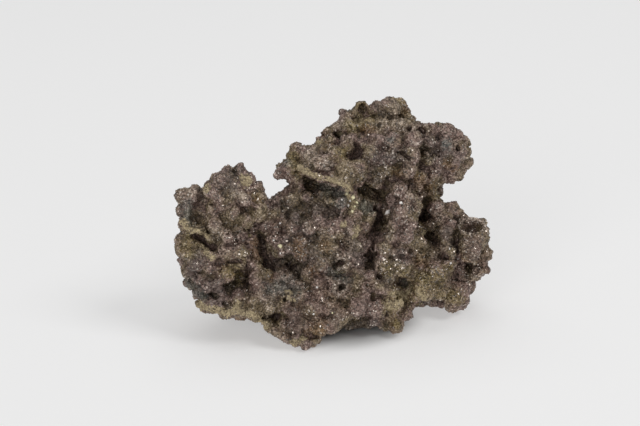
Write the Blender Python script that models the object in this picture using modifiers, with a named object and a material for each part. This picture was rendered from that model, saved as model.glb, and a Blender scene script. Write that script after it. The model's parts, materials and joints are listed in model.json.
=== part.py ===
"""A famatinite specimen: one loose lump of copper-antimony sulphide, 121 mm wide, standing on three low feet.

It grew as one piece, so it is one solid: rounded masses and grape-like lumps run together, ledges stand out
of them, and pits and clefts are sunk into them. The frame is +Z up, with the lump on the plane z = 0, +X to
the right and +Y away from the viewer. Lengths below are millimetres unless a name says otherwise.
"""

import math
import random

import bmesh
import bpy
import numpy as np
from mathutils import Matrix, Vector
from mathutils.bvhtree import BVHTree

METRES = 0.001
SEED = 12

# Places are read from in front: across and up in this view, with a depth behind the front foot.
LOOK_DOWN = math.radians(21)
EYE_DISTANCE = 667
EYE_ACROSS = -5.6
EYE_UP = 51.4
EYE_PLANE = 13
# The frame's origin is under the middle of the lump, this far right of and behind the front foot.
ORIGIN_RIGHT = 0.15
ORIGIN_BACK = 36.9

# Lines of sight run from in front of the lump to behind it. A place past the outline takes a middle depth.
FRONT_DEPTH = -60
MIDDLE_DEPTH = 34
REAR_DEPTH = 90

VOXEL = 0.8
TRIANGLES = 9600
MASS_INSET = 0.9
# A sink is how far a ball's centre lies under the skin, as a part of its radius: a negative one stands proud.
LUMP_SINK = -0.25
LEDGE_SINK = -0.6
LEDGE_STRETCH = (1.2, 1.8, 1)
SCATTER_COUNT = 800
SCATTER_RADII = (2, 4)
SCATTER_GAP = 5
SCATTER_SINK = 0.2
SCATTER_TRIES = 12
# No random lump or pit goes where the skin is nearly edge-on from in front, which keeps the outline as read.
OUTLINE_BAND = 0.38
RIM_POINTS = 12
# The far side isn't seen in front, so its bulges and broad hollows are random too.
BULGE_COUNT = 120
BULGE_RADII = (3.5, 8)
BULGE_GAP = 7
BULGE_SINK = 0.45
DENT_COUNT = 60
DENT_RADII = (2.6, 5.5)
DENT_DEPTH = 3.6
DENT_GAP = 9
PIT_COUNT = 60
PIT_RADII = (1.3, 2.4)
PIT_DEPTH = 2.2
PIT_GAP = 9
HOLLOW_REACH = 7
HOLLOW_JITTER = 0.9
HOLLOW_SHRINK = (0.6, 1)
FLOOR_BLOCK = 200

# Rounded masses: name, across, up, depth, then the three radii along X, Y and Z.
MASSES = [
    ("left_slab", -42, 38, 25, 15, 15, 23),
    ("left_slab_inner", -30, 36, 26, 9, 15, 20),
    ("left_lower", -43, 25, 20, 12.5, 13, 11.5),
    ("left_rim_base", -36, 18, 17, 14, 11, 7.5),
    ("left_rim_corner", -48, 20, 17, 5, 7, 6),
    ("left_column", -54, 50, 22, 6, 9, 11),
    ("left_side", -51, 38, 22, 9, 12, 13),
    ("left_peak", -37.6, 57.4, 21, 9.6, 9, 12),
    ("left_peak_shoulder", -45, 59.4, 22, 4.5, 7, 5.5),
    ("left_peak_slope", -31.6, 52.4, 22, 8.4, 9, 11.4),
    ("left_saddle", -24.6, 52.6, 25, 4, 8, 5),
    ("left_groove", -49.2, 53, 27, 6, 8, 8),
    ("front_foot", -11, 7, 8, 8, 7.5, 7.7),
    ("front_foot_left", -18.6, 7.4, 10, 7, 7, 6.6),
    ("front_belly", -11, 16, 15, 17, 14, 10),
    ("belly_left", -24, 18, 16, 8, 10, 8),
    ("belly_right", 3, 18, 17, 13, 12, 8),
    ("heart", -10, 38, 32, 26, 22, 22),
    ("heart_top", -8, 51, 30, 20, 17, 12),
    ("heart_back", -8, 38, 50, 30, 14, 20),
    ("heart_right", 12, 38, 34, 13, 18, 22),
    ("upper_left", -8, 69.4, 34, 12, 13, 8.6),
    ("upper_left_root", -12, 62, 33, 5.4, 8, 5),
    ("upper_left_tip", -17, 67.6, 32, 6, 7, 5.4),
    ("upper_shelf", 3, 69, 34, 14, 14, 8),
    ("upper_shelf_root", 0, 59.8, 33, 14, 13, 6.4),
    ("upper_slope", 12, 75, 44, 19, 18, 12),
    ("upper_shoulder", 9.4, 83.4, 50, 10.4, 11, 8.6),
    ("upper_peak", 20.6, 88, 52, 8.3, 9, 8.2),
    ("upper_saddle", 28, 82, 48, 7, 9, 7),
    ("upper_middle", 26, 74, 44, 14, 15, 12),
    ("upper_right", 38.4, 75, 48, 12.6, 12, 11.2),
    ("upper_right_low", 42.8, 68.8, 48, 8, 8, 7),
    ("upper_back", 16, 73, 60, 22, 11, 14),
    ("neck", 31.6, 60, 46, 9.5, 14, 13),
    ("throat", 16, 58, 40, 13, 14, 14),
    ("middle_column", 25, 47, 27, 7.5, 8.5, 17),
    ("right_mass", 41, 42, 42, 13, 15, 15),
    ("right_bulb", 50, 40, 38, 8, 8, 10),
    ("right_rim", 51, 45, 40, 6.5, 7, 6),
    ("right_back", 28, 50, 56, 16, 10, 15),
    ("right_cheek", 54.4, 33, 40, 5.4, 7, 7.4),
    ("right_cheek_root", 50, 29.6, 43, 5.4, 7, 8),
    ("lower_middle", 14, 27, 26, 13, 12, 11),
    ("lower_right", 30, 27, 34, 16, 14, 10.5),
    ("right_foot", 43.5, 22.3, 41, 7.5, 8, 8.9),
    ("middle_foot", 17, 16, 20, 9, 8, 7.5),
    ("middle_foot_side", 25, 14.6, 20, 4.4, 5, 5),
    ("middle_toe", 22.5, 9.6, 17, 4, 4, 4.6),
    ("middle_toe_side", 18.6, 10, 18, 3.6, 4, 4),
    ("rear_foot", -30, 23, 50, 9, 9, 10.5),
    ("rear_mass", -20, 36, 54, 18, 12, 15),
]

# Grape-like lumps on the seen side: across, up, radius.
LUMPS = [
    # left block
    (-56.3, 57.6, 3.6), (-53, 58.5, 3.2), (-56.6, 52.5, 2.8), (-56, 47.5, 2.6), (-57.3, 41.5, 3),
    (-57.6, 37.4, 2.8), (-54.6, 36, 2.8), (-51.5, 33.5, 3.2), (-54.2, 29.6, 3), (-54, 25.6, 2.8),
    (-50.5, 27.5, 3), (-51.2, 21.5, 2.8), (-47, 31, 3), (-41, 28.4, 3.2), (-47.5, 24.5, 2.6),
    (-46.5, 18, 2.8), (-41.5, 18.5, 2.6), (-43.5, 23, 2.2), (-41, 37, 3.6), (-36, 37.5, 3.2),
    (-40.5, 42.5, 3), (-35, 43, 2.6), (-32, 41.4, 3), (-31, 36.5, 2.5), (-45, 47, 3), (-45.5, 53, 3),
    (-46, 59.5, 3), (-42, 63.5, 3), (-40.2, 66.5, 2.5), (-36, 67.4, 2.5), (-32.6, 64.4, 2.6),
    (-29.4, 61.2, 2.6), (-28, 57.6, 2.3), (-34, 57, 3), (-38.5, 51, 3), (-33, 48.5, 2.8),
    (-36, 33, 2.6), (-36.5, 20.5, 2.6), (-30.5, 17.5, 2.6), (-28, 52.5, 2.8),
    # belly and front foot
    (-24.4, 9, 2.6), (-22.2, 6.4, 2.6), (-18.8, 4.9, 2.3), (-14.6, 3.3, 2.2), (-10.9, 2.2, 2.2),
    (-7.4, 4.3, 2.2), (-19, 9.6, 3), (-12, 9, 3.4), (-6, 8.4, 3.4), (-1.5, 9.6, 3.4), (2.6, 12.6, 3.2),
    (-15, 14, 2.6), (-8, 15.4, 3.4), (-2, 16, 3), (-12.5, 19.5, 3), (-19, 17.5, 2.6),
    (-24.5, 15.8, 2.5), (-6, 20.6, 3), (0.5, 20, 2.8),
    # centre
    (-22, 46.2, 2.8), (-15.5, 46, 2.8), (-9.5, 46.2, 2.8), (-3.5, 46, 3), (-18.2, 41.8, 2.3),
    (-23.8, 41.6, 2.2), (-21.4, 37, 2.3), (-12.6, 40.6, 2.6), (-12.8, 36, 2.7), (-17.2, 38, 2.2),
    (-13.6, 33.2, 2.4), (-20.8, 31.3, 2.6), (-28.4, 33.3, 2.2), (-25.2, 27.8, 2.8), (-19.8, 28.6, 2.8),
    (-29.6, 27.2, 2.6), (-15.6, 26.8, 2.6), (-10, 29, 3), (-28, 22.6, 2.6), (-22.2, 23.4, 2.6),
    (-13, 23.6, 2.6), (-7, 25, 3), (-5, 32, 3), (-7, 37.6, 2.6), (-1.6, 38.5, 2.6), (1.6, 43.5, 2.6),
    (6.6, 44.6, 2.8), (8, 39, 2.8), (-1, 24, 2.4), (4.6, 35.6, 2.6), (8.6, 33, 2.6), (10.6, 46.6, 2.8),
    (-21, 56, 2.5), (-16, 56, 2.6), (-12.6, 50.4, 2.4), (-6.8, 50, 2.4), (-10.6, 57.4, 2.3),
    (2, 55.5, 2.8), (7.5, 50.5, 2.8), (12, 54, 2.8), (13, 49.6, 2.6), (-22.5, 51.5, 2.6),
    # middle column and below it
    (21.5, 56.4, 2.8), (26.8, 57, 2.8), (24, 60.4, 2.8), (20.6, 51.8, 2.6), (25.4, 52, 3),
    (30, 52.4, 2.7), (22.2, 47, 2.7), (28.2, 47.6, 3), (32, 45.6, 2.5), (26.6, 42.8, 2.7),
    (21.2, 42.6, 2.6), (31.4, 40.8, 2.4), (18, 37.8, 3.2), (18, 32.4, 3.4), (24.6, 31.6, 4.4),
    (23.2, 37.4, 2.3), (27.8, 37.2, 2.6), (31.4, 34.4, 2.8), (20, 27.4, 2.7), (13, 28, 2.4),
    (15.8, 23.8, 3), (11.2, 24, 2.6), (8.6, 28.2, 2.6), (6.6, 23.6, 2.3), (20, 22.4, 2.6),
    (22, 17, 3.4), (16, 15.4, 3.2), (8.4, 16.4, 3.4), (5, 19.4, 2.8), (11, 20, 3), (23.2, 9.8, 3.1),
    (19.4, 9.2, 2.3), (15, 11.2, 2.4), (26.6, 13, 2.3), (27.6, 16.6, 2.3),
    # right block
    (38, 53.4, 3), (43.6, 53.4, 2.4), (46, 51.6, 2), (41.6, 49.8, 2.6), (37.2, 47.4, 3),
    (41.4, 44.8, 2.7), (50, 38.6, 4.6), (46.6, 43.6, 2.6), (54.6, 42.4, 3), (56.6, 40.2, 2.4),
    (56.4, 36, 2.6), (58.3, 36.2, 2), (55.4, 29.6, 3.2), (53, 28, 2.6), (47.4, 28.4, 3),
    (46, 23.4, 4.6), (45, 19.4, 5), (50, 23.6, 2.6), (33.4, 23.4, 4.6), (38.4, 21.8, 3.4),
    (30.2, 20, 3), (37.4, 29.4, 4), (41.6, 31.6, 3), (43, 37.4, 2.4), (38.2, 37, 2.6), (34.2, 39, 2.4),
    (44.2, 33.4, 2.4), (29, 28.4, 2.8),
    # upper block
    (-20.2, 66.4, 2.7), (-17, 68, 3), (-15.8, 72.6, 2.8), (-14.8, 75.8, 2.4), (-12, 74.2, 2.5),
    (-8.8, 72.6, 3), (-5.4, 77.6, 2.4), (-2.2, 81.2, 3), (-1.4, 77.8, 2.7), (-5, 70.6, 3.2),
    (0, 73, 3.4), (4.4, 76.4, 3.6), (9.6, 78.6, 2.8), (3, 68.6, 3.2), (9, 68.8, 3), (15, 65.4, 4),
    (22, 66.4, 3.4), (27, 67, 3.4), (31.4, 65, 3), (37, 67, 3), (35, 72, 3), (28.4, 73, 3.4),
    (20.6, 72.2, 3.4), (14, 73.6, 3.4), (22, 78.4, 3.4), (29.4, 78.6, 3.4), (15.8, 78.4, 3),
    (35.4, 78.2, 3), (41.2, 76, 3), (45.6, 75, 3.2), (44, 70, 3.2), (48.2, 74, 2.8), (39.4, 71, 2.8),
    (42, 81.4, 3.4), (36.2, 82, 3), (30.4, 83, 3), (24, 84, 3.3), (18, 83.6, 3), (5.4, 83.8, 3),
    (4.4, 86.6, 2.6), (8, 88.4, 2.6), (10, 90.6, 2.6), (20, 91.8, 4.2), (24, 92.4, 3), (15.6, 90.4, 3),
    (26.6, 88, 2.8), (12.6, 84.4, 2.6), (49.3, 70.4, 2.6), (46, 65.8, 2.4), (44, 65.4, 2.4),
    (48.2, 78.2, 2.6), (45.6, 80, 2.6),
]

# Ledges, as lines of small balls: radius, then across and up along the ledge.
LEDGES = [
    (1.5, [(-57.4, 48.4), (-56, 46), (-53, 45), (-50, 44.4), (-47.5, 42.6)]),
    (1.5, [(-49.6, 38.6), (-48, 36.4), (-46, 34.6)]),
    (1.6, [(-51.4, 17.2), (-48.5, 15.6), (-45, 14.8), (-41.5, 14), (-38, 14.4)]),
    (1.6, [(-38, 14.4), (-34, 14), (-31, 13), (-28, 11.2), (-25.5, 9.2)]),
    (1.6, [(-38, 14.4), (-36.6, 17.2)]),
    (1.9, [(-13.6, 68), (-11, 66.6), (-8, 65.4), (-4, 65), (0, 63.8), (3, 62.5), (5.6, 61)]),
    (1.6, [(-4, 29.6), (1, 29.8), (6, 29.8)]),
]

# Broad recesses, with lumps grown over them: radius, how far in, then across and up along it.
RECESSES = [
    (5, 4.6, [(-31, 44), (-28, 40), (-26, 35), (-23.6, 31.4), (-18, 31), (-14, 29.6)]),
    (4, 3, [(-39, 25.4), (-35, 26), (-32.6, 30)]),
    (3.4, 3, [(-51, 42.2), (-48.4, 40.8), (-46.4, 38.6)]),
    (2.6, 1.6, [(-50.6, 54), (-50.2, 49)]),
    (3.4, 2.6, [(-23, 12.4), (-18, 12.2)]),
    (2.6, 1.8, [(-14, 62.4), (-10, 62), (-6, 61.6)]),
    (3, 2, [(-13.6, 53), (-9, 52), (-3, 51.4)]),
    (4, 3.6, [(12, 62), (15, 60.6), (18.4, 58)]),
    (4, 4.2, [(17.2, 56), (16.8, 50), (15.6, 45), (14.2, 39), (14.2, 33), (15.4, 29.6)]),
    (3.6, 4, [(33, 60.6), (34, 54), (34.4, 48), (35, 43.6), (37.2, 39.6)]),
    (3.4, 3.4, [(47.4, 47), (46.6, 42), (46.4, 36), (47.6, 32.4)]),
    (2.6, 1.6, [(48.6, 31.6), (51, 31), (53.6, 31.6)]),
    (3, 2, [(24.6, 26.2), (29.8, 25.8)]),
    (3.4, 2.6, [(0, 80.4), (1.6, 79.6)]),
    (3.4, 2.6, [(10.6, 80.6), (12, 79.6)]),
    (3, 2.2, [(21, 64.4), (24, 63.8)]),
    (3, 2, [(3, 40), (3, 36), (1.6, 32)]),
    (3, 2, [(-17, 49), (-20, 46), (-16, 43)]),
    (3.4, 2.6, [(32, 77), (34, 72), (33, 68)]),
    (3, 2, [(7, 72), (10, 76)]),
    (3, 2, [(3, 22), (5, 17)]),
]

# Clefts and pits in the lumps: radius, how far in, then across and up along it.
CLEFTS = [
    (2, 2.4, [(-28.6, 41), (-26, 35), (-22.6, 33.6)]),
    (2, 2, [(-17.6, 32), (-14, 30)]),
    (1.6, 1.8, [(-33, 26), (-32.6, 22.6)]),
    (1.8, 2, [(-39, 25.2), (-36.4, 25)]),
    (1.6, 1.6, [(-46.6, 21.2), (-44, 21.4)]),
    (2, 2.2, [(-49.4, 41.4), (-46.8, 39.4)]),
    (1.6, 2, [(-23, 12.4), (-19, 12.4)]),
    (1.8, 2.2, [(-14, 62), (-8, 61.8)]),
    (1.5, 1.6, [(-18.6, 50.4), (-16, 51)]),
    (2.2, 2.6, [(12.4, 61.6), (15, 60), (17.6, 57.6)]),
    (1.8, 2.4, [(16.8, 53), (16, 46)]),
    (1.8, 2.4, [(14.4, 39), (14, 33)]),
    (1.8, 2.4, [(34, 55), (34.4, 48)]),
    (1.7, 2, [(35.4, 43), (37.2, 40.6)]),
    (1.8, 2.2, [(46.8, 43), (46.4, 37)]),
    (1.8, 1.8, [(48.6, 31.6), (53, 31.4)]),
    (1.6, 1.6, [(-4, 27.8), (1, 27.9), (6.2, 28)]),
    (1.6, 1.8, [(0.8, 31.8), (2.6, 32.8)]),
    (1.6, 1.8, [(1.4, 22.6), (2.8, 23.6)]),
    (1.6, 1.8, [(24.6, 26.2), (29.8, 25.8)]),
    (1.6, 1.6, [(23, 19.8), (24.6, 19)]),
    (1.6, 1.8, [(26.4, 17.6), (26.2, 15.4)]),
    (1.6, 1.6, [(41, 36.6), (41.6, 34.8)]),
    (2, 2, [(0, 80.4), (1.6, 79.6)]),
    (2, 2, [(10.6, 80.6), (12, 79.6)]),
    (2, 2, [(10, 89), (11.4, 88.4)]),
    (2, 2, [(24.4, 89.6), (25.6, 88.6)]),
    (1.6, 1.6, [(-3.6, 68.8), (-2.4, 68.6)]),
    (1.8, 1.6, [(31, 82.4), (32, 81.4)]),
]

# The broken bulb at the right is hollow: a steep bore open at its top.
BULB_BORE = {"end": (52, 42.6, 38), "radius": 4.6, "way_in": (0, 0.1, -1), "reach": 14}


def seen_at(across, up, depth):
    """The point, in metres, that is seen at this place of the view and lies at this depth."""
    sine, cosine = math.sin(LOOK_DOWN), math.cos(LOOK_DOWN)
    rise = up - EYE_UP
    level = EYE_UP + rise * (1 - EYE_PLANE / EYE_DISTANCE)
    along = (depth - sine * level) / (cosine + sine * rise / EYE_DISTANCE)
    spread = 1 + (along - EYE_PLANE) / EYE_DISTANCE
    x = EYE_ACROSS + (across - EYE_ACROSS) * spread
    z = (EYE_UP + rise * spread) * cosine - along * sine
    return Vector((x, depth, z)) * METRES


def balls(placed, segments=12):
    """One mesh of separate ellipsoids, each given as its centre in metres and its radii in millimetres."""
    shape = bmesh.new()
    bmesh.ops.create_uvsphere(shape, u_segments=segments, v_segments=segments // 2, radius=1)
    unit = np.array([corner.co for corner in shape.verts])
    sides = [[corner.index for corner in face.verts] for face in shape.faces]
    shape.free()
    points = np.concatenate([unit * np.array(radii) * METRES + np.array(centre) for centre, radii in placed])
    faces = [[len(unit) * i + corner for corner in side] for i in range(len(placed)) for side in sides]
    mesh = bpy.data.meshes.new("balls")
    mesh.from_pydata(points.tolist(), [], faces)
    return mesh


def new_object(name, meshes, collection):
    """An object that holds these meshes side by side."""
    shape = bmesh.new()
    for mesh in meshes:
        shape.from_mesh(mesh)
        bpy.data.meshes.remove(mesh)
    joined = bpy.data.meshes.new(name)
    shape.to_mesh(joined)
    shape.free()
    made = bpy.data.objects.new(name, joined)
    collection.objects.link(made)
    return made


def run_together(made):
    """Gives overlapping closed shapes one outer skin."""
    remesh = made.modifiers.new("grown_together", "REMESH")
    remesh.mode = "VOXEL"
    remesh.voxel_size = VOXEL * METRES


def surface_of(made):
    """The object's evaluated skin, as a mesh and as a tree for casting on."""
    graph = bpy.context.evaluated_depsgraph_get()
    skin = bpy.data.meshes.new_from_object(made.evaluated_get(graph))
    shape = bmesh.new()
    shape.from_mesh(skin)
    tree = BVHTree.FromBMesh(shape)
    shape.free()
    return skin, tree


def hit_at(tree, across, up):
    """Where the line of sight through this place of the view first meets the skin, and the way it looks."""
    near, far = seen_at(across, up, FRONT_DEPTH), seen_at(across, up, REAR_DEPTH)
    look = (far - near).normalized()
    place = tree.ray_cast(near, look)[0]
    if place is None:
        # The place is just past the outline, so the nearest skin beside it is taken.
        place = tree.find_nearest(seen_at(across, up, MIDDLE_DEPTH))[0]
    return place, look


def behind(tree, centre, radius):
    """True where the skin hides the whole ball from in front, so it can't change the outline."""
    up = Vector((0, math.sin(LOOK_DOWN), math.cos(LOOK_DOWN)))
    ahead = Vector((0, math.cos(LOOK_DOWN), -math.sin(LOOK_DOWN)))
    right = Vector((1, 0, 0))
    eye = (right * EYE_ACROSS + up * EYE_UP + ahead * (EYE_PLANE - EYE_DISTANCE)) * METRES
    for step in range(RIM_POINTS):
        turn = math.tau * step / RIM_POINTS
        rim = centre + (right * math.cos(turn) + up * math.sin(turn)) * radius * METRES
        if tree.ray_cast(eye, rim - eye, (rim - eye).length)[0] is None:
            return False
    return True


def points_between(corners, step):
    """Places a step apart along a line through these corners of the view."""
    places = [corners[0]]
    for (a, b), (c, d) in zip(corners, corners[1:]):
        count = max(1, round(math.hypot(c - a, d - b) / step))
        places += [(a + (c - a) * i / count, b + (d - b) * i / count) for i in range(1, count + 1)]
    return places


def scattered(skin, count, gap, draw, far_only=False):
    """Up to this many places on the skin, a gap apart, each with its outward direction."""
    to_eye = Vector((0, -math.cos(LOOK_DOWN), math.sin(LOOK_DOWN)))
    faces = skin.polygons
    reach = []
    total = 0
    for face in faces:
        total += face.area
        reach.append(total)
    chosen = []
    for face in draw.choices(faces, cum_weights=reach, k=count * SCATTER_TRIES):
        turned = face.normal.dot(to_eye)
        if abs(turned) < OUTLINE_BAND or (far_only and turned > 0):
            continue
        if all((face.center - place).length > gap * METRES for place, _ in chosen):
            chosen.append((face.center.copy(), face.normal.copy()))
        if len(chosen) == count:
            break
    return chosen


def make_masses(collection, draw):
    """The bare masses, with random bulges and dents on the far side and the recesses on the seen side."""
    placed = []
    for _, across, up, depth, *radii in MASSES:
        placed.append((seen_at(across, up, depth), [radius - MASS_INSET for radius in radii]))
    made = new_object("masses", [balls(placed, segments=24)], collection)
    run_together(made)
    skin, tree = surface_of(made)
    bulges = []
    for place, outward in scattered(skin, BULGE_COUNT, BULGE_GAP, draw, far_only=True):
        radius = draw.uniform(*BULGE_RADII)
        centre = place - outward * radius * BULGE_SINK * METRES
        if place.z > radius * METRES and behind(tree, centre, radius):
            bulges.append((centre, [radius] * 3))
    bpy.data.objects.remove(made)
    made = new_object("masses", [skin, balls(bulges, segments=18)], collection)
    run_together(made)
    skin, tree = surface_of(made)
    dents = hollows_over(skin, DENT_COUNT, DENT_GAP, DENT_RADII, DENT_DEPTH, draw, far_only=True)
    sink(skin, [*hollows_along(RECESSES, tree, draw), *dents])
    made.data = skin
    skin, tree = surface_of(made)
    bpy.data.objects.remove(made)
    return skin, tree


def make_specimen(skin, tree, draw, collection):
    """The masses with their lumps and ledges grown on."""
    placed = []
    for across, up, radius in LUMPS:
        place, look = hit_at(tree, across, up)
        placed.append((place + look * radius * LUMP_SINK * METRES, [radius] * 3))
    for radius, corners in LEDGES:
        for across, up in points_between(corners, radius * 0.8):
            place, look = hit_at(tree, across, up)
            centre = place + look * radius * LEDGE_SINK * METRES
            placed.append((centre, [radius * stretch for stretch in LEDGE_STRETCH]))
    for place, outward in scattered(skin, SCATTER_COUNT, SCATTER_GAP, draw):
        radius = draw.uniform(*SCATTER_RADII)
        centre = place - outward * radius * SCATTER_SINK * METRES
        if outward.y < 0 or behind(tree, centre, radius):
            placed.append((centre, [radius] * 3))
    made = new_object("specimen", [skin, balls(placed)], collection)
    run_together(made)
    grown, tree = surface_of(made)
    made.modifiers.clear()
    made.data = grown
    return made, tree


def hollows_along(lines, tree, draw):
    """Round hollows along these lines of the view: far end, radius, way in and reach back, all in metres."""
    found = []
    for radius, inward, corners in lines:
        for across, up in points_between(corners, radius * 0.5):
            across += draw.uniform(-HOLLOW_JITTER, HOLLOW_JITTER)
            up += draw.uniform(-HOLLOW_JITTER, HOLLOW_JITTER)
            place, look = hit_at(tree, across, up)
            wide = radius * draw.uniform(*HOLLOW_SHRINK)
            end = place + look * (inward + radius * HOLLOW_SHRINK[0] - wide) * METRES
            found.append((end, wide * METRES, look, HOLLOW_REACH * METRES))
    return found


def hollows_over(skin, count, gap, radii, depth, draw, far_only=False):
    """Random round hollows of this depth, sunk straight in."""
    found = []
    for place, outward in scattered(skin, count, gap, draw, far_only):
        radius = draw.uniform(*radii)
        end = place - outward * (depth - radius) * METRES
        found.append((end, radius * METRES, -outward, HOLLOW_REACH * METRES))
    return found


def sink(grown, hollows):
    """Pushes the skin in to the bottom of each round hollow."""
    points = np.empty(len(grown.vertices) * 3, np.float32)
    grown.vertices.foreach_get("co", points)
    points = points.reshape(-1, 3).astype(float)
    for end, radius, way_in, reach in hollows:
        away = points - np.array(end)
        along = away @ np.array(way_in)
        aside = (away**2).sum(1) - along**2
        inside = (aside < radius**2) & (along > -reach) & (along**2 * (along > 0) + aside < radius**2)
        move = np.sqrt(radius**2 - aside[inside]) - along[inside]
        points[inside] += move[:, None] * np.array(way_in)
    grown.vertices.foreach_set("co", points.astype(np.float32).ravel())
    grown.update()


def drop_crumbs(mesh):
    """Leaves only the largest closed skin of the mesh."""
    shape = bmesh.new()
    shape.from_mesh(mesh)
    waiting = set(shape.verts)
    skins = []
    while waiting:
        skin = [waiting.pop()]
        for corner in skin:
            for edge in corner.link_edges:
                other = edge.other_vert(corner)
                if other in waiting:
                    waiting.remove(other)
                    skin.append(other)
        skins.append(skin)
    skins.sort(key=len)
    crumbs = [corner for skin in skins[:-1] for corner in skin]
    bmesh.ops.delete(shape, geom=crumbs, context="VERTS")
    shape.to_mesh(mesh)
    shape.free()


def make_floor(collection):
    """The block below z = 0 that leaves the feet flat."""
    shape = bmesh.new()
    bmesh.ops.create_cube(shape, size=FLOOR_BLOCK * METRES)
    block = bpy.data.meshes.new("floor")
    shape.to_mesh(block)
    shape.free()
    made = new_object("floor", [block], collection)
    made.location.z = -FLOOR_BLOCK / 2 * METRES
    return made


def cut(made, cutter, name):
    cutter.hide_render = True
    cutter.display_type = "WIRE"
    boolean = made.modifiers.new(name, "BOOLEAN")
    boolean.operation = "DIFFERENCE"
    boolean.solver = "EXACT"
    boolean.object = cutter


def thin_to(made, triangles):
    """Fewer, larger faces, with the form kept."""
    made.data.calc_loop_triangles()
    thinned = made.modifiers.new("fewer_faces", "DECIMATE")
    thinned.ratio = triangles / len(made.data.loop_triangles)


def rock_material():
    made = bpy.data.materials.new("famatinite")
    made.use_nodes = True
    shader = made.node_tree.nodes["Principled BSDF"]
    shader.inputs["Base Color"].default_value = (0.093, 0.074, 0.066, 1)
    shader.inputs["Roughness"].default_value = 0.6
    shader.inputs["Metallic"].default_value = 0.3
    return made


def main():
    for old in list(bpy.data.objects):
        bpy.data.objects.remove(old)
    parts = bpy.data.collections.new("famatinite_specimen")
    cutters = bpy.data.collections.new("cutters")
    for collection in (parts, cutters):
        bpy.context.scene.collection.children.link(collection)
    draw = random.Random(SEED)
    skin, tree = make_masses(parts, draw)
    specimen, tree = make_specimen(skin, tree, draw, parts)
    bore = (
        seen_at(*BULB_BORE["end"]),
        BULB_BORE["radius"] * METRES,
        Vector(BULB_BORE["way_in"]).normalized(),
        BULB_BORE["reach"] * METRES,
    )
    pits = hollows_over(specimen.data, PIT_COUNT, PIT_GAP, PIT_RADII, PIT_DEPTH, draw)
    sink(specimen.data, [*hollows_along(CLEFTS, tree, draw), *pits, bore])
    run_together(specimen)
    specimen.data, _ = surface_of(specimen)
    specimen.modifiers.clear()
    drop_crumbs(specimen.data)
    specimen.data.transform(Matrix.Translation(Vector((-ORIGIN_RIGHT, -ORIGIN_BACK, 0)) * METRES))
    thin_to(specimen, TRIANGLES)
    cut(specimen, make_floor(cutters), "flat_feet")
    specimen.data.materials.append(rock_material())


main()
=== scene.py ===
"""A famatinite specimen: the grape-like sulphide crust with its drusy crystals, clay rims and stains.

The solid gives the main lumps, clefts and feet. Here they get smaller lumps, pores and crystals. Places on
the front are read as across and up, in millimetres, in the view from in front; lengths are millimetres.
"""

import json
import math

import bpy
import numpy as np
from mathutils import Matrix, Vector
from mathutils.bvhtree import BVHTree

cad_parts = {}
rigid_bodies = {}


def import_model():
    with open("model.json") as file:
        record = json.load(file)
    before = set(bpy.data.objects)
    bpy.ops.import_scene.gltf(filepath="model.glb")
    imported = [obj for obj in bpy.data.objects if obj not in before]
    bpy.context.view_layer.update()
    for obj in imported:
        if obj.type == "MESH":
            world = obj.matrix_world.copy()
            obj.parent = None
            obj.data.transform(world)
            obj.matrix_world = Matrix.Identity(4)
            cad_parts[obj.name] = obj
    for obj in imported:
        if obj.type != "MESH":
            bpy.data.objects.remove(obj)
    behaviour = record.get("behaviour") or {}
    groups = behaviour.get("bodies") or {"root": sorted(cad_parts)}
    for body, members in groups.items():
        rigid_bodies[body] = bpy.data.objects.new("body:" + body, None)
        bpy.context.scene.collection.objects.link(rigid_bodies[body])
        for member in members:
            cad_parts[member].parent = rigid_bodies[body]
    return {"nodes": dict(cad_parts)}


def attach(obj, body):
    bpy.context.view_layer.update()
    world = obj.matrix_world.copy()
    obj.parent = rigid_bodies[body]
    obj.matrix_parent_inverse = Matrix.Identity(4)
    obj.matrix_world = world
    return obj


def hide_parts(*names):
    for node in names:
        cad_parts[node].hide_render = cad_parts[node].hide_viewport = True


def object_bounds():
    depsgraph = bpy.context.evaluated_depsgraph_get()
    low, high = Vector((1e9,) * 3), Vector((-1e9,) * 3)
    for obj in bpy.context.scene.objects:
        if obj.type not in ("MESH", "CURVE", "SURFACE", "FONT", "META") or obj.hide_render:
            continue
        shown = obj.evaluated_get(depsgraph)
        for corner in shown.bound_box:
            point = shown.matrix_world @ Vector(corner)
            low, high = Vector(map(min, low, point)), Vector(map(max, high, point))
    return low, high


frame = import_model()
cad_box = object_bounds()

MM = 0.001
SEED = 23
rng = np.random.default_rng(SEED)
BOX_LOW, BOX_HIGH = (np.array(corner) for corner in cad_box)

# The view from in front: how far it looks down, where the eye is, and how deep across and up are true.
LOOK_DOWN = math.radians(21)
EYE_DISTANCE = 667
EYE_ACROSS = -5.6
EYE_UP = 51.4
EYE_PLANE = 13
LENS = 100.05
SENSOR = 36
# The frame's origin, and depths in front of the specimen, inside it and behind it.
ORIGIN = (0.15, 36.9, 0)
FRONT_DEPTH = -60
MIDDLE_DEPTH = 34
REAR_DEPTH = 90

# Corners nearer than this, in metres, are one.
SAME_PLACE = 1e-6
# The base form: its voxel, how its lumps and clefts are stressed, and how far it is set in, to leave room.
BASE_VOXEL = 0.7
BASE_SMOOTH = 2
STRESS_STEPS = 22
STRESS = 0.85
INSET = 1.55
FINE_VOXEL = 0.42
CRUST_TRIANGLES = 198000
# Relief all over the crust: the clouds' size, how far they move the skin, and how fine they go.
RELIEF = [(2.4, 0.5, 1), (1, 0.4, 2)]

# Listed lumps: the share of the radius that stands out, or how far for bold ones, and the room round them.
MAIN_PROUD = 0.66
BOLD_PROUD = 3.1
MAIN_ROOM = 0.8
# Knobs on them: how many each, their radii and place as shares of the lump's, and the share that is sunk.
KNOBS = 3
KNOB_SHARE = (0.4, 0.65)
KNOB_OUT = 1.1
KNOB_SUNK = 0.7
# A knob is left out if its middle is lower than this many of its radii and this far above the floor.
KNOB_RISE = 1.2
KNOB_FLOOR = 0.2
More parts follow.
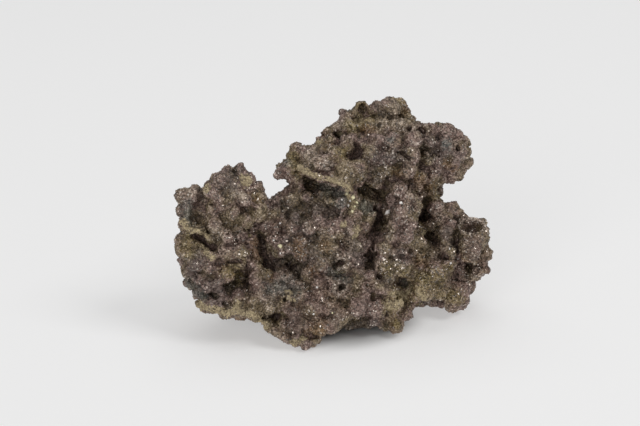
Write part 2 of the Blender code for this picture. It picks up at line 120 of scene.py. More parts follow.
# Lumps between them, and then smaller buds: tries, how near they may be, radii, and how far they stand out.
LUMP_TRIES = 26000
LUMP_GAP = 2.6
LUMP_RADII = (1.2, 2.3)
LUMP_PROUD = (0.8, 1.8)
BUD_TRIES = 40000
BUD_GAP = 1.65
BUD_RADII = (0.5, 1.1)
BUD_PROUD = (0.15, 0.45)
# How much balls are stretched, and how far their middles keep from the sides of the solid's box: this many
# radii and this much, or more for seeded lumps.
BALL_STRETCH = (0.78, 1.22)
BALL_ROOM = 1.1
EDGE_ROOM = 0.1
MORE_EDGE_ROOM = (0.4, 2.2)

# Pits: how their places and radii vary, the step along a cleft, and how far back the way in is cleared.
PIT_JITTER = 0.25
PIT_SHRINK = (0.55, 0.85)
PIT_STEP = 0.5
PIT_REACH = 4
# A pit's bottom lies this share of its listed depth, less this much, under the inset form.
PIT_SHARE = 0.5
PIT_LESS = 0.5
# Pores all over: how many, tries for each, how near they may be, radii, and depth as a share of the radius.
PORE_COUNT = 700
PORE_TRIES = 4
PORE_GAP = 2.4
PORE_RADII = (0.35, 0.8)
PORE_DEPTH = 1.4
# How open a place is, by rays sent out from it: how many, how long, where they start, how they spread, and
# how often what they find is evened out.
OPEN_RAYS = 12
OPEN_REACH = 4
OPEN_START = 0.05
OPEN_LEAN = 1.02
OPEN_BLUR = 2

# Painted shade in hollows: the colour goes from dark where hardly open to light where quite open.
OPEN_RANGE = (0.52, 0.97)
OPEN_PAINTED_SHADE = (0.76, 1.05)
# The ground's two browns: the size of their patches, and the noise from which one turns to the other.
PURPLE_BROWN = "#947a6f"
OLIVE_BROWN = "#907d60"
HUE_PATCH = 9
HUE_RANGE = (0.42, 0.6)
# Lighter and darker mottles: their size, the noise that they follow, and their shade.
MOTTLE_PATCH = 1.9
MOTTLE_RANGE = (0.32, 0.68)
MOTTLE_SHADE = (0.72, 1.28)
# The brightest facets are greyer: past this tone, the rest is the ground's grey with this tint.
NEUTRAL_FROM = 0.9
NEUTRAL_TINT = (1.1, 1, 0.9)
# Each finish's colour, and how much of the ground it covers. The darkest is partly painted shade.
FINISH_COLOURS = [
    ("pale", "#b3a08f", 0.6),
    # Darker patches of the rock, and painted shade under the belly and in the centre.
    ("dark_patch_and_shade", "#5c514c", 0.6),
    ("umber", "#826654", 0.5),
    ("green", "#65716c", 0.55),
    ("olive", "#8f7d45", 0.6),
    ("rust", "#8a6638", 0.58),
    ("clay", "#a79679", 0.86),
    ("rim", "#c4b2a2", 0.9),
]
# A finish's ragged edge: the size of its noise, and the sum of noise and strength over which it comes in.
RAGGED_PATCH = 1.1
RAGGED_RANGE = (1.3, 1.8)
# Facets too fine to model: size, darkest and lightest tone, how far they lean, and the painted shade in the
# gaps between.
FACET_SIZE = 0.6
FACET_TONES = (0.34, 1.75)
FACET_TILT = 1.1
FACET_GAP = 0.35
FACET_GAP_RANGE = (0.35, 0.8)
# The druse's brightness by chance: most faces are dark and few are bright.
DRUSE_LEVEL = 2.7
DRUSE_TONES = [(0, 0.14), (0.5, 0.3), (0.88, 0.6), (1, 1)]
# Clean crystal faces: colour, roughness, the chance from which a crystal is one, away from glitter and in
# it, and the glitter that counts as full.
GLINT = "#a59b92"
GLINT_ROUGHNESS = 0.27
GLINT_FROM = (0.955, 0.85)
GLITTER_FULL = 0.6
# Roughness and how metallic, of the crust and of the druse, away from clean faces.
CRUST_GLOSS = (0.55, 0.1)
DRUSE_GLOSS = (0.25, 0.4)
# Clay: its darkest and lightest grains, its painted shade in hollows, and its powdery bumps.
CLAY_COLOURS = ("#7b6d57", "#c6b592")
CLAY_OPEN = 0.6
CLAY_PAINTED_SHADE = 0.55
POWDER_PATCH = 0.3
POWDER_HEIGHT = 0.2
# Clouds in the larger crystals: their size, the noise that they follow, and their shade.
CLOUD_PATCH = 0.8
CLOUD_RANGE = (0.3, 0.7)
CLOUD_SHADE = 0.85
# Tiny clear and yellow crystals strewn all over: how many of each kind at most, and their half widths.
TINY_GEMS = 40
TINY_WIDTHS = (0.16, 0.3)

# Druse and grains: name, crystal, how many, gap, least and most half width, how deep sunk in half widths.
DRUSES = [
    ("druse_coarse", "cube", 16000, 0.9, (0.3, 0.6), (0.3, 0.85)),
    ("druse_pointed", "bipyramid", 24000, 0.7, (0.3, 0.55), (0.3, 0.85)),
    ("druse_fine", "bipyramid", 24000, 0, (0.2, 0.4), (0.3, 0.85)),
]
GRAINS = ("clay_grains", "grain", 6000, 0, (0.25, 0.5), (-0.1, 0.5))
# Tries for each crystal where they keep a gap, and how much crystals are stretched.
STREW_TRIES = 3
CRYSTAL_STRETCH = (0.7, 1.3)
# Crystals are fewer where clay is strong, in hollows and on plain spots: how much clay hides, its slope and
# its start; the slope, start and least share by openness; how much a plain spot clears, and its slope.
CLAY_HIDES = (0.9, 3, 0.9)
HOLLOW_HIDES = (1.6, 0.1, 0.08)
PLAIN_HIDES = (0.8, 2)
# Grains lie where clay is strong: slope and start.
CLAY_HOLDS = (4, 1.7)
# Crystals and tiny gems keep this far above the floor.
CRYSTAL_FLOOR = 0.9
GEM_FLOOR = 2

# Soft lights, in metres and watts: name, place, aim, size and power.
LIGHTS = [
    ("key", (1.3, -0.7, 1.6), (0, 0, 0.03), 0.9, 13.5),
    ("overhead", (-0.2, 0.6, 2.2), (0, 0, 0), 2.2, 17),
    ("front", (-0.9, -2.1, 0.8), (0, 0, 0.03), 1.4, 19),
]
ROOM_LIGHT = 0.2
# The floor glows a little, painted light as from a light table, which keeps the shadows pale, but not under
# the
# feet, whose painted shadow stays unlit: its middle and half widths, in metres, and where in those the glow
# comes in.
FLOOR_SIZE = 8
FLOOR_COLOUR = "#cecece"
FLOOR_GLOW = 0.37
FLOOR_PAINTED_SHADOW = ((0.003, -0.01), (0.028, 0.024))
FLOOR_FADE = (0.55, 1.15)

# The solid's own lumps, which are made round again: across, up, radius.
LUMPS = [
    # Left block
    (-56.3, 57.6, 3.6), (-53, 58.5, 3.2), (-56.6, 52.5, 2.8), (-56, 47.5, 2.6), (-57.3, 41.5, 3),
    (-57.6, 37.4, 2.8), (-54.6, 36, 2.8), (-51.5, 33.5, 3.2), (-54.2, 29.6, 3), (-54, 25.6, 2.8),
    (-50.5, 27.5, 3), (-51.2, 21.5, 2.8), (-47, 31, 3), (-41, 28.4, 3.2), (-47.5, 24.5, 2.6),
    (-46.5, 18, 2.8), (-41.5, 18.5, 2.6), (-43.5, 23, 2.2), (-41, 37, 3.6), (-36, 37.5, 3.2),
    (-40.5, 42.5, 3), (-35, 43, 2.6), (-32, 41.4, 3), (-31, 36.5, 2.5), (-45, 47, 3), (-45.5, 53, 3),
    (-46, 59.5, 3), (-47.4, 61.6, 2.2), (-44.6, 64.4, 2.2), (-42, 63.5, 3), (-40.2, 66.5, 2.5),
    (-36, 67.4, 2.5), (-32.6, 64.4, 2.6),
    (-29.4, 61.2, 2.6), (-28, 57.6, 2.3), (-34, 57, 3), (-38.5, 51, 3), (-33, 48.5, 2.8),
    (-36, 33, 2.6), (-36.5, 20.5, 2.6), (-30.5, 17.5, 2.6), (-28, 52.5, 2.8),
    # Belly and front foot
    (-24.4, 9, 2.6), (-22.2, 6.4, 2.6), (-18.8, 4.9, 2.3), (-14.6, 3.3, 2.2), (-10.9, 2.2, 2.2),
    (-7.4, 4.3, 2.2), (-19, 9.6, 3), (-12, 9, 3.4), (-6, 8.4, 3.4), (-1.5, 9.6, 3.4), (2.6, 12.6, 3.2),
    (-15, 14, 2.6), (-8, 15.4, 3.4), (-2, 16, 3), (-12.5, 19.5, 3), (-19, 17.5, 2.6),
    (-24.5, 15.8, 2.5), (-6, 20.6, 3),
    # Centre
    (-22, 46.2, 2.8), (-15.5, 46, 2.8), (-9.5, 46.2, 2.8), (-3.5, 46, 3), (-18.2, 41.8, 2.3),
    (-23.8, 41.6, 2.2), (-21.4, 37, 2.3), (-12.6, 40.6, 2.6), (-12.8, 36, 2.7), (-17.2, 38, 2.2),
    (-13.6, 33.2, 2.4), (-20.8, 31.3, 2.6), (-28.4, 33.3, 2.2), (-25.2, 27.8, 2.8), (-19.8, 28.6, 2.8),
    (-29.6, 27.2, 2.6), (-15.6, 26.8, 2.6), (-10, 29, 3), (-28, 22.6, 2.6), (-22.2, 23.4, 2.6),
    (-13, 23.6, 2.6), (-7, 25, 3), (-5, 32, 3), (-7, 37.6, 2.6), (-1.6, 38.5, 2.6), (1.6, 43.5, 2.6),
    (6.6, 44.6, 2.8), (8, 39, 2.8), (-1, 24, 2.4), (4.6, 35.6, 2.6), (8.6, 33, 2.6), (10.6, 46.6, 2.8),
    (-21, 56, 2.5), (-16, 56, 2.6), (-12.6, 50.4, 2.4), (-6.8, 50, 2.4), (-10.6, 57.4, 2.3),
    (2, 55.5, 2.8), (7.5, 50.5, 2.8), (12, 54, 2.8), (13, 49.6, 2.6), (-22.5, 51.5, 2.6),
    # Middle column and below it
    (21.5, 56.4, 2.8), (26.8, 57, 2.8), (24, 60.4, 2.8), (20.6, 51.8, 2.6), (25.4, 52, 3),
    (30, 52.4, 2.7), (22.2, 47, 2.7), (28.2, 47.6, 3), (32, 45.6, 2.5), (26.6, 42.8, 2.7),
    (21.2, 42.6, 2.6), (31.4, 40.8, 2.4), (18, 37.8, 3.2), (18, 32.4, 3.4), (24.6, 31.6, 4.4),
    (23.2, 37.4, 2.3), (27.8, 37.2, 2.6), (31.4, 34.4, 2.8), (20, 27.4, 2.7), (13, 28, 2.4),
    (15.8, 23.8, 3), (11.2, 24, 2.6), (8.6, 28.2, 2.6), (6.6, 23.6, 2.3), (20, 22.4, 2.6),
    (22, 17, 3.4), (16, 15.4, 3.2), (8.4, 16.4, 3.4), (5, 19.4, 2.8), (11, 20, 3), (23.2, 9.8, 3.1),
    (19.4, 9.2, 2.3), (15, 11.2, 2.4), (26.6, 13, 2.3), (27.6, 16.6, 2.3),
    # Right block
    (38, 53.4, 3), (43.6, 53.4, 2.4), (46, 51.6, 2), (41.6, 49.8, 2.6), (37.2, 47.4, 3),
    (41.4, 44.8, 2.7), (50, 38.6, 4.6), (46.6, 43.6, 2.6), (53.4, 42.2, 2.6), (54.8, 40, 2.2),
    (55.8, 35.4, 2.4), (58.4, 36.4, 2.2), (54, 29.6, 3), (53, 28, 2.6), (47.4, 28.4, 3),
    (46, 23.4, 4.6), (45, 19.4, 5), (50, 23.6, 2.6), (33.4, 23.4, 4.6), (38.4, 21.8, 3.4),
    (30.2, 20, 3), (37.4, 29.4, 4), (41.6, 31.6, 3), (43, 37.4, 2.4), (38.2, 37, 2.6), (34.2, 39, 2.4),
    (44.2, 33.4, 2.4), (29, 28.4, 2.8), (31.4, 30.6, 2.8), (28, 22.8, 2.6), (29.8, 18, 2.2),
    (33.2, 18.4, 2.3), (36.6, 18.4, 2.4), (39.8, 18.4, 2.3), (48.4, 18.8, 2.8), (47.2, 17.2, 2.2),
    (34.2, 53, 1.8), (34.2, 49.4, 1.8), (32, 30, 2.2), (22.8, 8.2, 2.2),
    # Upper block
    (-20.2, 66.4, 2.7), (-17, 68, 3), (-15.8, 72.6, 2.8), (-14.8, 75.8, 2.4), (-12, 74.2, 2.5),
    (-8.8, 72.6, 3), (-5.4, 77.6, 2.4), (-2.2, 81.2, 3), (-1.4, 77.8, 2.7), (-5, 70.6, 3.2),
    (0, 73, 3.4), (4.4, 76.4, 3.6), (9.6, 78.6, 2.8), (3, 68.6, 3.2), (9, 68.8, 3), (15, 65.4, 4),
    (22, 66.4, 3.4), (27, 67, 3.4), (31.4, 65, 3), (37, 67, 3), (35, 72, 3), (28.4, 73, 3.4),
    (20.6, 72.2, 3.4), (14, 73.6, 3.4), (22, 78.4, 3.4), (29.4, 78.6, 3.4), (15.8, 78.4, 3),
    (35.4, 78.2, 3), (41.2, 76, 3), (45.6, 75, 3.2), (44, 70, 3.2), (48.2, 74, 2.8), (39.4, 71, 2.8),
    (42, 81.4, 3.4), (36.2, 82, 3), (30.4, 83, 3), (24, 84, 3.3), (18, 83.6, 3), (5.4, 83.8, 3),
    (4.4, 86.6, 2.6), (8, 88.4, 2.6), (10, 90.6, 2.6), (21, 91.2, 4), (24, 91.8, 2.8), (15.6, 90.4, 3),
    (25.4, 87.6, 2.4), (12.6, 84.4, 2.6), (49.3, 70.4, 2.6), (46, 65.8, 2.4), (44, 65.4, 2.4),
    (48.2, 78.2, 2.6), (45.6, 80, 2.6),
]

# Lumps that stand out most: across, up, radius.
BOLD = [
    (50.6, 37, 4.2), (46.5, 22.6, 4.4), (24.6, 31, 3.8), (37, 29, 3.2), (18.2, 38.2, 2.7), (18, 34.6, 2.2),
    (18, 31.6, 3), (-22.4, 36.6, 1.9), (-15.4, 24.6, 1.8), (13, 15.6, 2.6),
]

# Pits and clefts: radius, how far in, then across and up along it.
PITS = [
    # Left block
    (1.5, 2.4, [(-38, 68), (-37.8, 66.2)]),
    (1.1, 1.6, [(-33.4, 59.8)]),
    (1.5, 2, [(-37.4, 56.4), (-36.4, 55.6)]),
    (1.3, 2, [(-34.4, 53.2), (-33, 52.6)]),
    (1, 1.6, [(-53.9, 51.4), (-53.5, 48.6)]),
    (1.6, 2.6, [(-53, 42.9), (-50, 41.7), (-47.6, 40), (-45.6, 38.4)]),
    (0.9, 1.4, [(-41.2, 39.4), (-37, 39.8)]),
    (1, 1.6, [(-31.4, 36.4), (-31.4, 34.6)]),
    (1.2, 1.8, [(-40, 33), (-34.6, 33.2)]),
    (1.3, 2.2, [(-32.8, 29.6), (-32.4, 25)]),
    (1.2, 2, [(-39, 25.6), (-37.2, 25)]),
    (1.1, 1.8, [(-46.8, 21), (-44.6, 20.2)]),
    (1.2, 1.8, [(-41.6, 17.4), (-39.6, 17)]),
    (0.9, 1.4, [(-33.4, 18.4)]),
    (1.5, 2.8, [(-28.8, 44), (-27, 41), (-26.6, 36.6), (-25.4, 31.6)]),
    (1.1, 1.8, [(-25.3, 21.8), (-25.1, 20.6)]),
    (1.1, 1.8, [(-26.8, 12), (-26, 11.6)]),
    # Centre and belly
    (1.7, 2.8, [(-17.4, 50.4), (-16.2, 50.2)]),
    (1, 1.6, [(-23.6, 49), (-21.4, 48.8)]),
    (1.1, 1.8, [(-12.4, 50.2), (-9.4, 50.6)]),
    (1.4, 2, [(-2.6, 54.2), (0.4, 52.6), (1.6, 50.8)]),
    (1, 1.6, [(3.3, 49.2)]),
    (1.3, 2.2, [(-18, 32.2), (-15.4, 31.2), (-13.2, 31.6)]),
    (1.3, 2.2, [(0.2, 31.4), (1.4, 32.2), (2.6, 32.9)]),
    (0.8, 1.8, [(-3.3, 28.2), (-0.6, 27.8), (2, 28.2), (6.4, 28.1)]),
    (1.2, 2.2, [(1, 22.1), (2, 22.9), (3, 23.7)]),
    (1.2, 2, [(3.7, 39), (4.4, 38)]),
    (1.1, 1.8, [(-21.2, 18.8), (-18.8, 18.9)]),
    (1.6, 2.6, [(-22.4, 12.6), (-21, 12.4)]),
    (1, 1.6, [(-11.9, 7.8), (-11.9, 6.2)]),
    (1.1, 1.4, [(-9.2, 5.2), (-6.4, 5)]),
    # Middle column and what lies under it
    (2.1, 3.6, [(14.6, 62), (16.2, 60.2), (18, 58.2)]),
    (1, 1.8, [(7.2, 61.4), (9, 59.8), (10.4, 58)]),
    (1.2, 2, [(10.6, 56)]),
    (2, 3.4, [(16.8, 53.6), (16.6, 50), (16.4, 46)]),
    (1.5, 2.6, [(14.9, 41.8), (14.9, 37.4), (14.4, 33), (15, 30.4)]),
    (1.1, 1.6, [(20.5, 35.1)]),
    (1.1, 1.8, [(28, 37), (29.4, 37.4)]),
    (0.7, 1.6, [(24.8, 27), (27.6, 26.4), (30.2, 25.4)]),
    (1.1, 1.8, [(12.1, 24.4)]),
    (1.2, 2, [(23.5, 19.4)]),
    (1.1, 1.8, [(26.2, 17.4), (26, 15.8)]),
    (0.8, 1.4, [(15.6, 18.8)]),
    (0.9, 1.4, [(21.4, 13.2)]),
    (0.9, 1.4, [(23.6, 12), (24.8, 11.8)]),
    # Right block
    (0.9, 1.4, [(34.3, 57), (34.3, 52.6), (34, 47.4)]),
    (1.2, 2.2, [(35.4, 44.6), (36, 41.2)]),
    (1, 1.6, [(35.1, 35.6)]),
    (1.4, 2.4, [(41.4, 36.4), (41.8, 34.8)]),
    (1.3, 2.4, [(45.8, 44), (45.3, 39), (45.3, 35), (46, 32.4)]),
    (0.9, 1.6, [(47.6, 31.4), (50.4, 30.9), (53.4, 31.4)]),
    (0.9, 1.4, [(45.9, 26.1)]),
    # Upper block
    (0.9, 1.4, [(-0.7, 68.1)]),
    (0.9, 1.4, [(-14.3, 71.1), (-13.5, 71.1)]),
    (0.9, 1.4, [(-14.7, 66.7)]),
    (1.3, 2, [(-13.4, 62.2), (-9, 61.6), (-4, 61), (1, 60)]),
    (2, 2.8, [(10.6, 91), (10.2, 89.6)]),
    (1.5, 2.2, [(8.5, 85.3)]),
    (0.8, 1.4, [(3.7, 85.5)]),
    (1.2, 2, [(18.8, 88.6), (19.8, 88.4)]),
    (1, 1.6, [(16.6, 84.6), (16.5, 83.6)]),
    (1.9, 2.8, [(0.2, 80), (1.4, 79.4)]),
    (1, 1.4, [(4.6, 79.7)]),
    (1, 1.4, [(7.6, 78.6), (7.4, 76), (9.6, 74)]),
    (1.4, 2, [(32.4, 82.6), (33, 81.8)]),
    (1.4, 2.2, [(29.8, 76.1), (30.8, 75.7)]),
    (0.8, 1.6, [(24.6, 74.6), (26.1, 73.3), (27.9, 71.6)]),
    (0.9, 1.4, [(36, 74.8), (36, 72.6)]),
    (1.1, 1.6, [(45.9, 76.4), (45.9, 75.2)]),
    (1, 1.6, [(49.4, 75.8), (49.4, 74.8)]),
    (1, 1.4, [(36.9, 69)]),
    (1, 1.4, [(11.9, 66)]),
]

# The broken bulb at the right: a hollow stem with a thin rim, open at its top and leaning to the front. Its
# wall is rings of beads, and its hollow laps into them.
BULB = {
    "across": 51.2, "up": 46.4, "depth": 36.4, "way_in": (0, 0.28, -0.96), "radius": 4.9, "deep": 9,
    "widening": 0.05, "wall": 0.7, "thickening": 0.08, "ring_gap": 0.8, "beads": 34, "wobble": 0.2,
    "lap": 0.75, "cleared": 14, "room": 1.5, "rim_spots": 40,
}
# Small vents with pale raised rims: across, up, half width, half height, turn, radius of the rim.
VENTS = [
    (1.8, 32.4, 1.9, 1.05, 28, 0.8),
    (1.8, 23.1, 1.7, 1.1, 35, 0.8),
    (-2.9, 69.1, 1.2, 0.85, 10, 0.7),
]
# A vent's slot is hollows in a row, this deep. Its rim is so many beads that lie this share of their radius
# outside the slot and stand out this far.
VENT_ROW = (-1, -0.4, 0.4, 1)
VENT_DEEP = 0.6
VENT_BEADS = 16
VENT_RIM_OUT = 0.7
VENT_PROUD = 2.1
BEAD_SIZES = (0.9, 1.15)
# Thin ledges that stand out as rough ridges: radius, then across and up along them.
UPPER_LEDGE = [(-13.6, 68.6), (-11, 66.8), (-8, 65.4), (-4, 64.6), (0, 63.7), (3, 62.3), (5.6, 60.4)]
LEFT_LEDGE = [(-57.4, 48.4), (-56, 46), (-53, 45), (-50, 44.4), (-47.5, 42.6)]
SHORT_LEDGE = [(-49.6, 38.6), (-48, 36.4), (-46, 34.6)]
LOW_LEDGE = [(-51.4, 17.2), (-48.5, 15.6), (-45, 14.8), (-41.5, 14), (-38, 14.4)]
CURL = [(-18.4, 22), (-17, 22.2), (-16.6, 21), (-17.4, 19.6), (-15.6, 18.8)]
LEDGES = [
    (1.1, UPPER_LEDGE),
    (0.9, LEFT_LEDGE),
    (0.8, SHORT_LEDGE),
    (0.9, [*LOW_LEDGE, (-34, 14), (-31, 13), (-28, 11), (-25.6, 9.2), (-23.6, 7.6)]),
    (0.6, CURL),
    (0.7, [(24.6, 28.4), (27.4, 27.9), (30.2, 26.9)]),
    (0.8, [(47.6, 32.4), (50.4, 32.2), (53.4, 32.6)]),
]
# A ledge is balls: their step, how many in a row are alike, how their size, height and place vary, all as
# shares of its radius, how far they stand out less a share of their size, and how far above a lip is sought.
LEDGE_STEP = 0.7
LEDGE_RUN = 4
LEDGE_SIZES = (0.5, 1.3)
LEDGE_SHIFT = 0.5
LEDGE_JITTER = 0.3
LEDGE_PROUD = 1.8
LEDGE_SUNK = 0.5
LIP_ABOVE = 2
# The lower edge of the ledge and the front foot, across and up: what the lumps add under it is pressed back,
# as far back as the foot's depth and only between the edge's ends.
FOOT_EDGE = [
    (-54.4, 18.6), (-52.7, 15.6), (-49.3, 12.6), (-43, 11.8), (-37, 10.8), (-33, 10.6), (-28.9, 8.9),
    (-24.7, 6.7), (-12.6, -0.8),
]
FOOT_DEPTH = 40
NO_EDGE = -99
# Low lumps under the belly, behind the front foot, at their places in the frame: x, y, z, radius.
UNDERSIDE = [
    (-3, -24, 5.4, 2.6), (1, -22, 5, 2.8), (5, -19, 4.6, 2.8), (9, -18, 4.4, 2.8), (12.6, -18.6, 4.2, 2.4),
    (3, -15, 5.6, 3), (8, -13, 5.4, 3),
]

# Where each finish lies on the front: reach, then across and up along it.
CLAY = [
    (1, LEFT_LEDGE), (1.2, SHORT_LEDGE), (1.5, LOW_LEDGE),
    (1.5, [(-38, 14.4), (-34, 14), (-31, 13), (-28, 11.2), (-25.5, 9.2)]),
    (1.4, [(-38, 14.4), (-36.6, 17.2)]), (1.1, UPPER_LEDGE),
    (1.5, [(19.6, 17.4), (22.4, 16.2), (24.8, 17.8)]),
    (1, [(20.4, 20.4), (23, 21.4), (26, 20.4), (28, 22)]), (1.4, [(31, 21.4), (33, 19.6)]),
    (2, [(-34.5, 64), (-33, 63)]), (1.6, [(-48.4, 60.8)]), (1.2, [(8, 42.6), (8.4, 45.6)]),
    (1.2, [(3.3, 46.8)]), (1.4, [(-5.7, 78)]), (1.4, [(2, 81.4)]),
    (0.8, [(6, 51.6), (7, 55.6), (5, 58)]), (1.2, [(33.4, 43.8)]), (1.2, [(-16, 2.6), (-12, 4.6)]),
    (0.6, CURL),
]
OLIVE = [
    (4.4, [(22, 17), (25, 20)]), (5.2, [(33.6, 27), (32.6, 22), (29, 22)]), (5, [(38, 27), (37, 22)]),
    (3, [(38.6, 20.5), (43, 20.4), (47, 19)]), (2.6, [(43.8, 31.3), (41, 30)]), (2.4, [(19.7, 30)]),
    (2.6, [(26.1, 28.3)]), (2.2, [(32.6, 47.6)]), (2.4, [(38.6, 57.8)]), (3, [(6, 84), (14, 87)]),
    (3, [(3, 74)]), (2.4, [(-17, 75), (-15, 71), (-14, 66)]), (3, [(-55, 41), (-56, 37)]),
    (3, [(-41, 30), (-36, 28)]), (2.4, [(23, 10)]),
]
RUST = [
    (2.6, [(31.3, 33.2), (33.4, 33)]), (3, [(31.6, 63.6), (34.6, 61.6)]), (2, [(42, 69.4)]),
    (2, [(11, 83.2), (14, 82.6)]), (2.8, [(-14, 40), (-13, 36)]), (2.4, [(-8, 30)]), (2.4, [(-4, 39)]),
    (2, [(-24, 27)]), (2, [(45.4, 67.2)]), (2.4, [(-10, 6.6), (-5, 8)]), (1.8, [(48.9, 33.4)]),
    (2, [(23.5, 66.4)]), (2.6, [(-30, 40), (-29, 36)]), (2, [(-30, 56)]),
]
UMBER = [
    (4, [(-13, 9), (-7, 9)]), (4, [(52, 43), (51, 37)]), (3, [(56, 36), (55, 30)]),
    (4, [(46, 24), (44, 19)]), (5, [(-6, 24), (0, 18), (-4, 12)]), (4, [(-12, 15), (-17, 14)]),
    (3, [(22, 10)]),
]
GREEN = [
    (2.8, [(-5, 60.6), (-1, 59.6), (3, 57.8)]), (3, [(-24, 24), (-19, 24), (-15, 22)]),
    (2.4, [(-55, 25), (-50, 20)]), (2, [(-17.5, 22.9), (-19.6, 22)]), (2.4, [(42, 77.6)]),
    (1.6, [(20.5, 78.9)]), (3, [(2.4, 55.6)]), (3, [(11, 54.3), (13, 52)]), (2.4, [(27, 24.6)]),
    (1.6, [(50.6, 32.6)]), (3, [(-55, 54), (-54.6, 49)]), (2, [(-2, 30), (4, 26.6)]), (2, [(-18, 71)]),
]
PALE = [
    (2.4, [(-0.6, 32), (1.8, 34.6), (4.2, 33.6), (2.4, 30.6)]),
    (2.2, [(-0.4, 22.6), (2, 25), (4, 23.6), (1.8, 21)]), (2.6, [(6, 36), (7, 41), (5, 45)]),
    (4, [(-8, 73), (-11, 70)]), (3, [(-50, 60), (-54, 60)]), (3, [(-37, 60), (-34, 57)]),
    (3, [(54, 31), (52, 28)]), (4, [(26, 84), (22, 88), (24, 92)]), (4, [(18, 90), (15, 84)]),
    (3, [(2, 84)]), (3, [(0, 35), (2, 34)]), (2.8, [(1, 24.6), (3.4, 24.8)]), (4, [(-44, 44)]),
    (3, [(-14, 29), (-20, 26)]), (3, [(-26, 22), (-24, 18)]),
]
# Darker spots: those low under the belly are painted shade on lumps in shadow, the broad ones in the centre
# partly painted shade in its recess, and the rest darker patches of the rock.
DARK_PATCH_AND_SHADE = [
    (7, [(-10, 38)]), (3, [(3, 8.6), (9, 9), (15, 9)]), (5, [(-16, 40), (-12, 32)]),
    (3.4, [(51, 41), (51, 36)]), (3, [(40, 43)]), (4, [(-18, 54), (-12, 48)]), (4, [(16, 72), (24, 72)]),
    (4, [(-40, 22), (-46, 24), (-44, 18.6)]), (4, [(-40, 62), (-38, 66)]), (4, [(8, 38), (11, 33)]),
    (3, [(44, 40), (42, 45)]), (4, [(-22, 33), (-16, 36)]), (5, [(36, 76), (42, 74)]),
    (4, [(-8, 54), (-2, 52)]), (3, [(-51, 36), (-54, 28)]), (3, [(16, 64)]), (3, [(24, 35)]),
    (3, [(20, 27)]), (3, [(0, 12)]), (3.4, [(-16, 13), (-12, 7)]),
]
# Where the crystals glint most.
GLITTER = [
    (5, [(26, 56), (28, 48), (27, 42)]), (3, [(19, 38), (19, 32), (24, 32)]),
    (4, [(12, 66), (18, 70), (22, 76)]), (3, [(8, 66), (12, 62)]), (4, [(-12, 42), (-10, 34), (-4, 40)]),
    (3, [(-20, 44), (-18, 36)]), (3, [(44, 36), (42, 32)]), (1.6, [(48, 41), (52, 42)]),
    (3, [(-34, 38), (-38, 44)]), (3, [(38, 52), (36, 46)]), (3, [(46, 26), (54, 30)]),
    (3, [(-20, 26), (-14, 24)]), (3, [(36, 28), (40, 26)]),
]
# Thin pale lines: the curl low on the left, and short edges of pits.
RIM = [
    (0.6, CURL),
    (0.5, [(-12.4, 62.8), (-9, 62.4)]),
    (0.5, [(28.6, 77.6), (31, 77.4)]),
]
# The rims of the vents and of the broken bulb are such lines too, with this reach.
RIM_REACH = 0.8
# Each finish by name: where it lies on the front, and how many spots and what largest reach on the far side,
# which isn't seen in front and gets the same finishes at random.
FINISHES = {
    "glitter": (GLITTER, 16, 5),
    "pale": (PALE, 12, 5),
    "clay": (CLAY, 16, 2.6),
    "olive": (OLIVE, 16, 5),
    "rust": (RUST, 12, 3.4),
    "umber": (UMBER, 8, 7),
    "green": (GREEN, 8, 4.4),
    "dark_patch_and_shade": (DARK_PATCH_AND_SHADE, 14, 7),
    "rim": (RIM, 4, 1),
}
# How close spots lie along a line, and how far off the skin a line of sight starts.
SPOT_STEP = 0.8
SIGHT_START = 0.5
# On the far side a finish is wandering trails: places tried for each, how far back a place faces at least,
# the trail's reach as a share of the largest, its number of steps, their length, and how much it swerves.
FAR_TRIES = 8
FAR_FACING = 0.1
FAR_REACH = (0.4, 1)
FAR_STEPS = (3, 12)
FAR_STEP = 1.2
FAR_SWERVE = 0.3
# Few crystals grow this near round a vent.
VENT_PLAIN = 1

# Larger crystals by kind: the kind's material and colour, then across, up and half width of each.
GEMS = {
    "quartz": ("quartz_milky", "#fbf5ef", [
        (19.8, 51.8, 1.3), (24.8, 55.2, 0.95), (43.4, 32.6, 0.6), (46, 34, 0.65), (43, 38, 0.5),
        (5, 54.2, 0.65), (2.6, 56.4, 0.5), (5.6, 56, 0.6), (-20.5, 36.3, 0.4), (-6.7, 23.5, 0.7),
        (-8, 13.5, 0.45), (-20.6, 47.6, 0.5), (-23, 41.2, 0.5),
    ]),
    "sulphur": ("sulphur_pale_yellow", "#f6edc4", [
        (6.8, 57.2, 1), (6.5, 52, 0.8), (-20.5, 39, 1.05), (4.4, 58.6, 0.7), (8.2, 55.4, 0.75),
        (7.4, 53.8, 0.7), (-1, 14, 0.45),
    ]),
}
# A crystal's middle stands this share of its half width in front of the skin.
GEM_PROUD = 0.85


# Places on the front


def seen_at(across, up, depth):
    """The point, in metres, that is seen at this place of the view and lies at this depth."""
    sine, cosine = math.sin(LOOK_DOWN), math.cos(LOOK_DOWN)
    rise = up - EYE_UP
    level = EYE_UP + rise * (1 - EYE_PLANE / EYE_DISTANCE)
    along = (depth - sine * level) / (cosine + sine * rise / EYE_DISTANCE)
    spread = 1 + (along - EYE_PLANE) / EYE_DISTANCE
    x = EYE_ACROSS + (across - EYE_ACROSS) * spread
    z = (EYE_UP + rise * spread) * cosine - along * sine
    return (Vector((x, depth, z)) - Vector(ORIGIN)) * MM


def hit_at(tree, across, up):
    """Where the line of sight through this place of the view meets the skin, and the way it looks."""
    near, far = seen_at(across, up, FRONT_DEPTH), seen_at(across, up, REAR_DEPTH)
    look = (far - near).normalized()
    place = tree.ray_cast(near, look)[0]
    if place is None:
        beside = tree.find_nearest(seen_at(across, up, MIDDLE_DEPTH))[0]
        place = seen_at(across, up, beside.y / MM + ORIGIN[1])
    return place, look


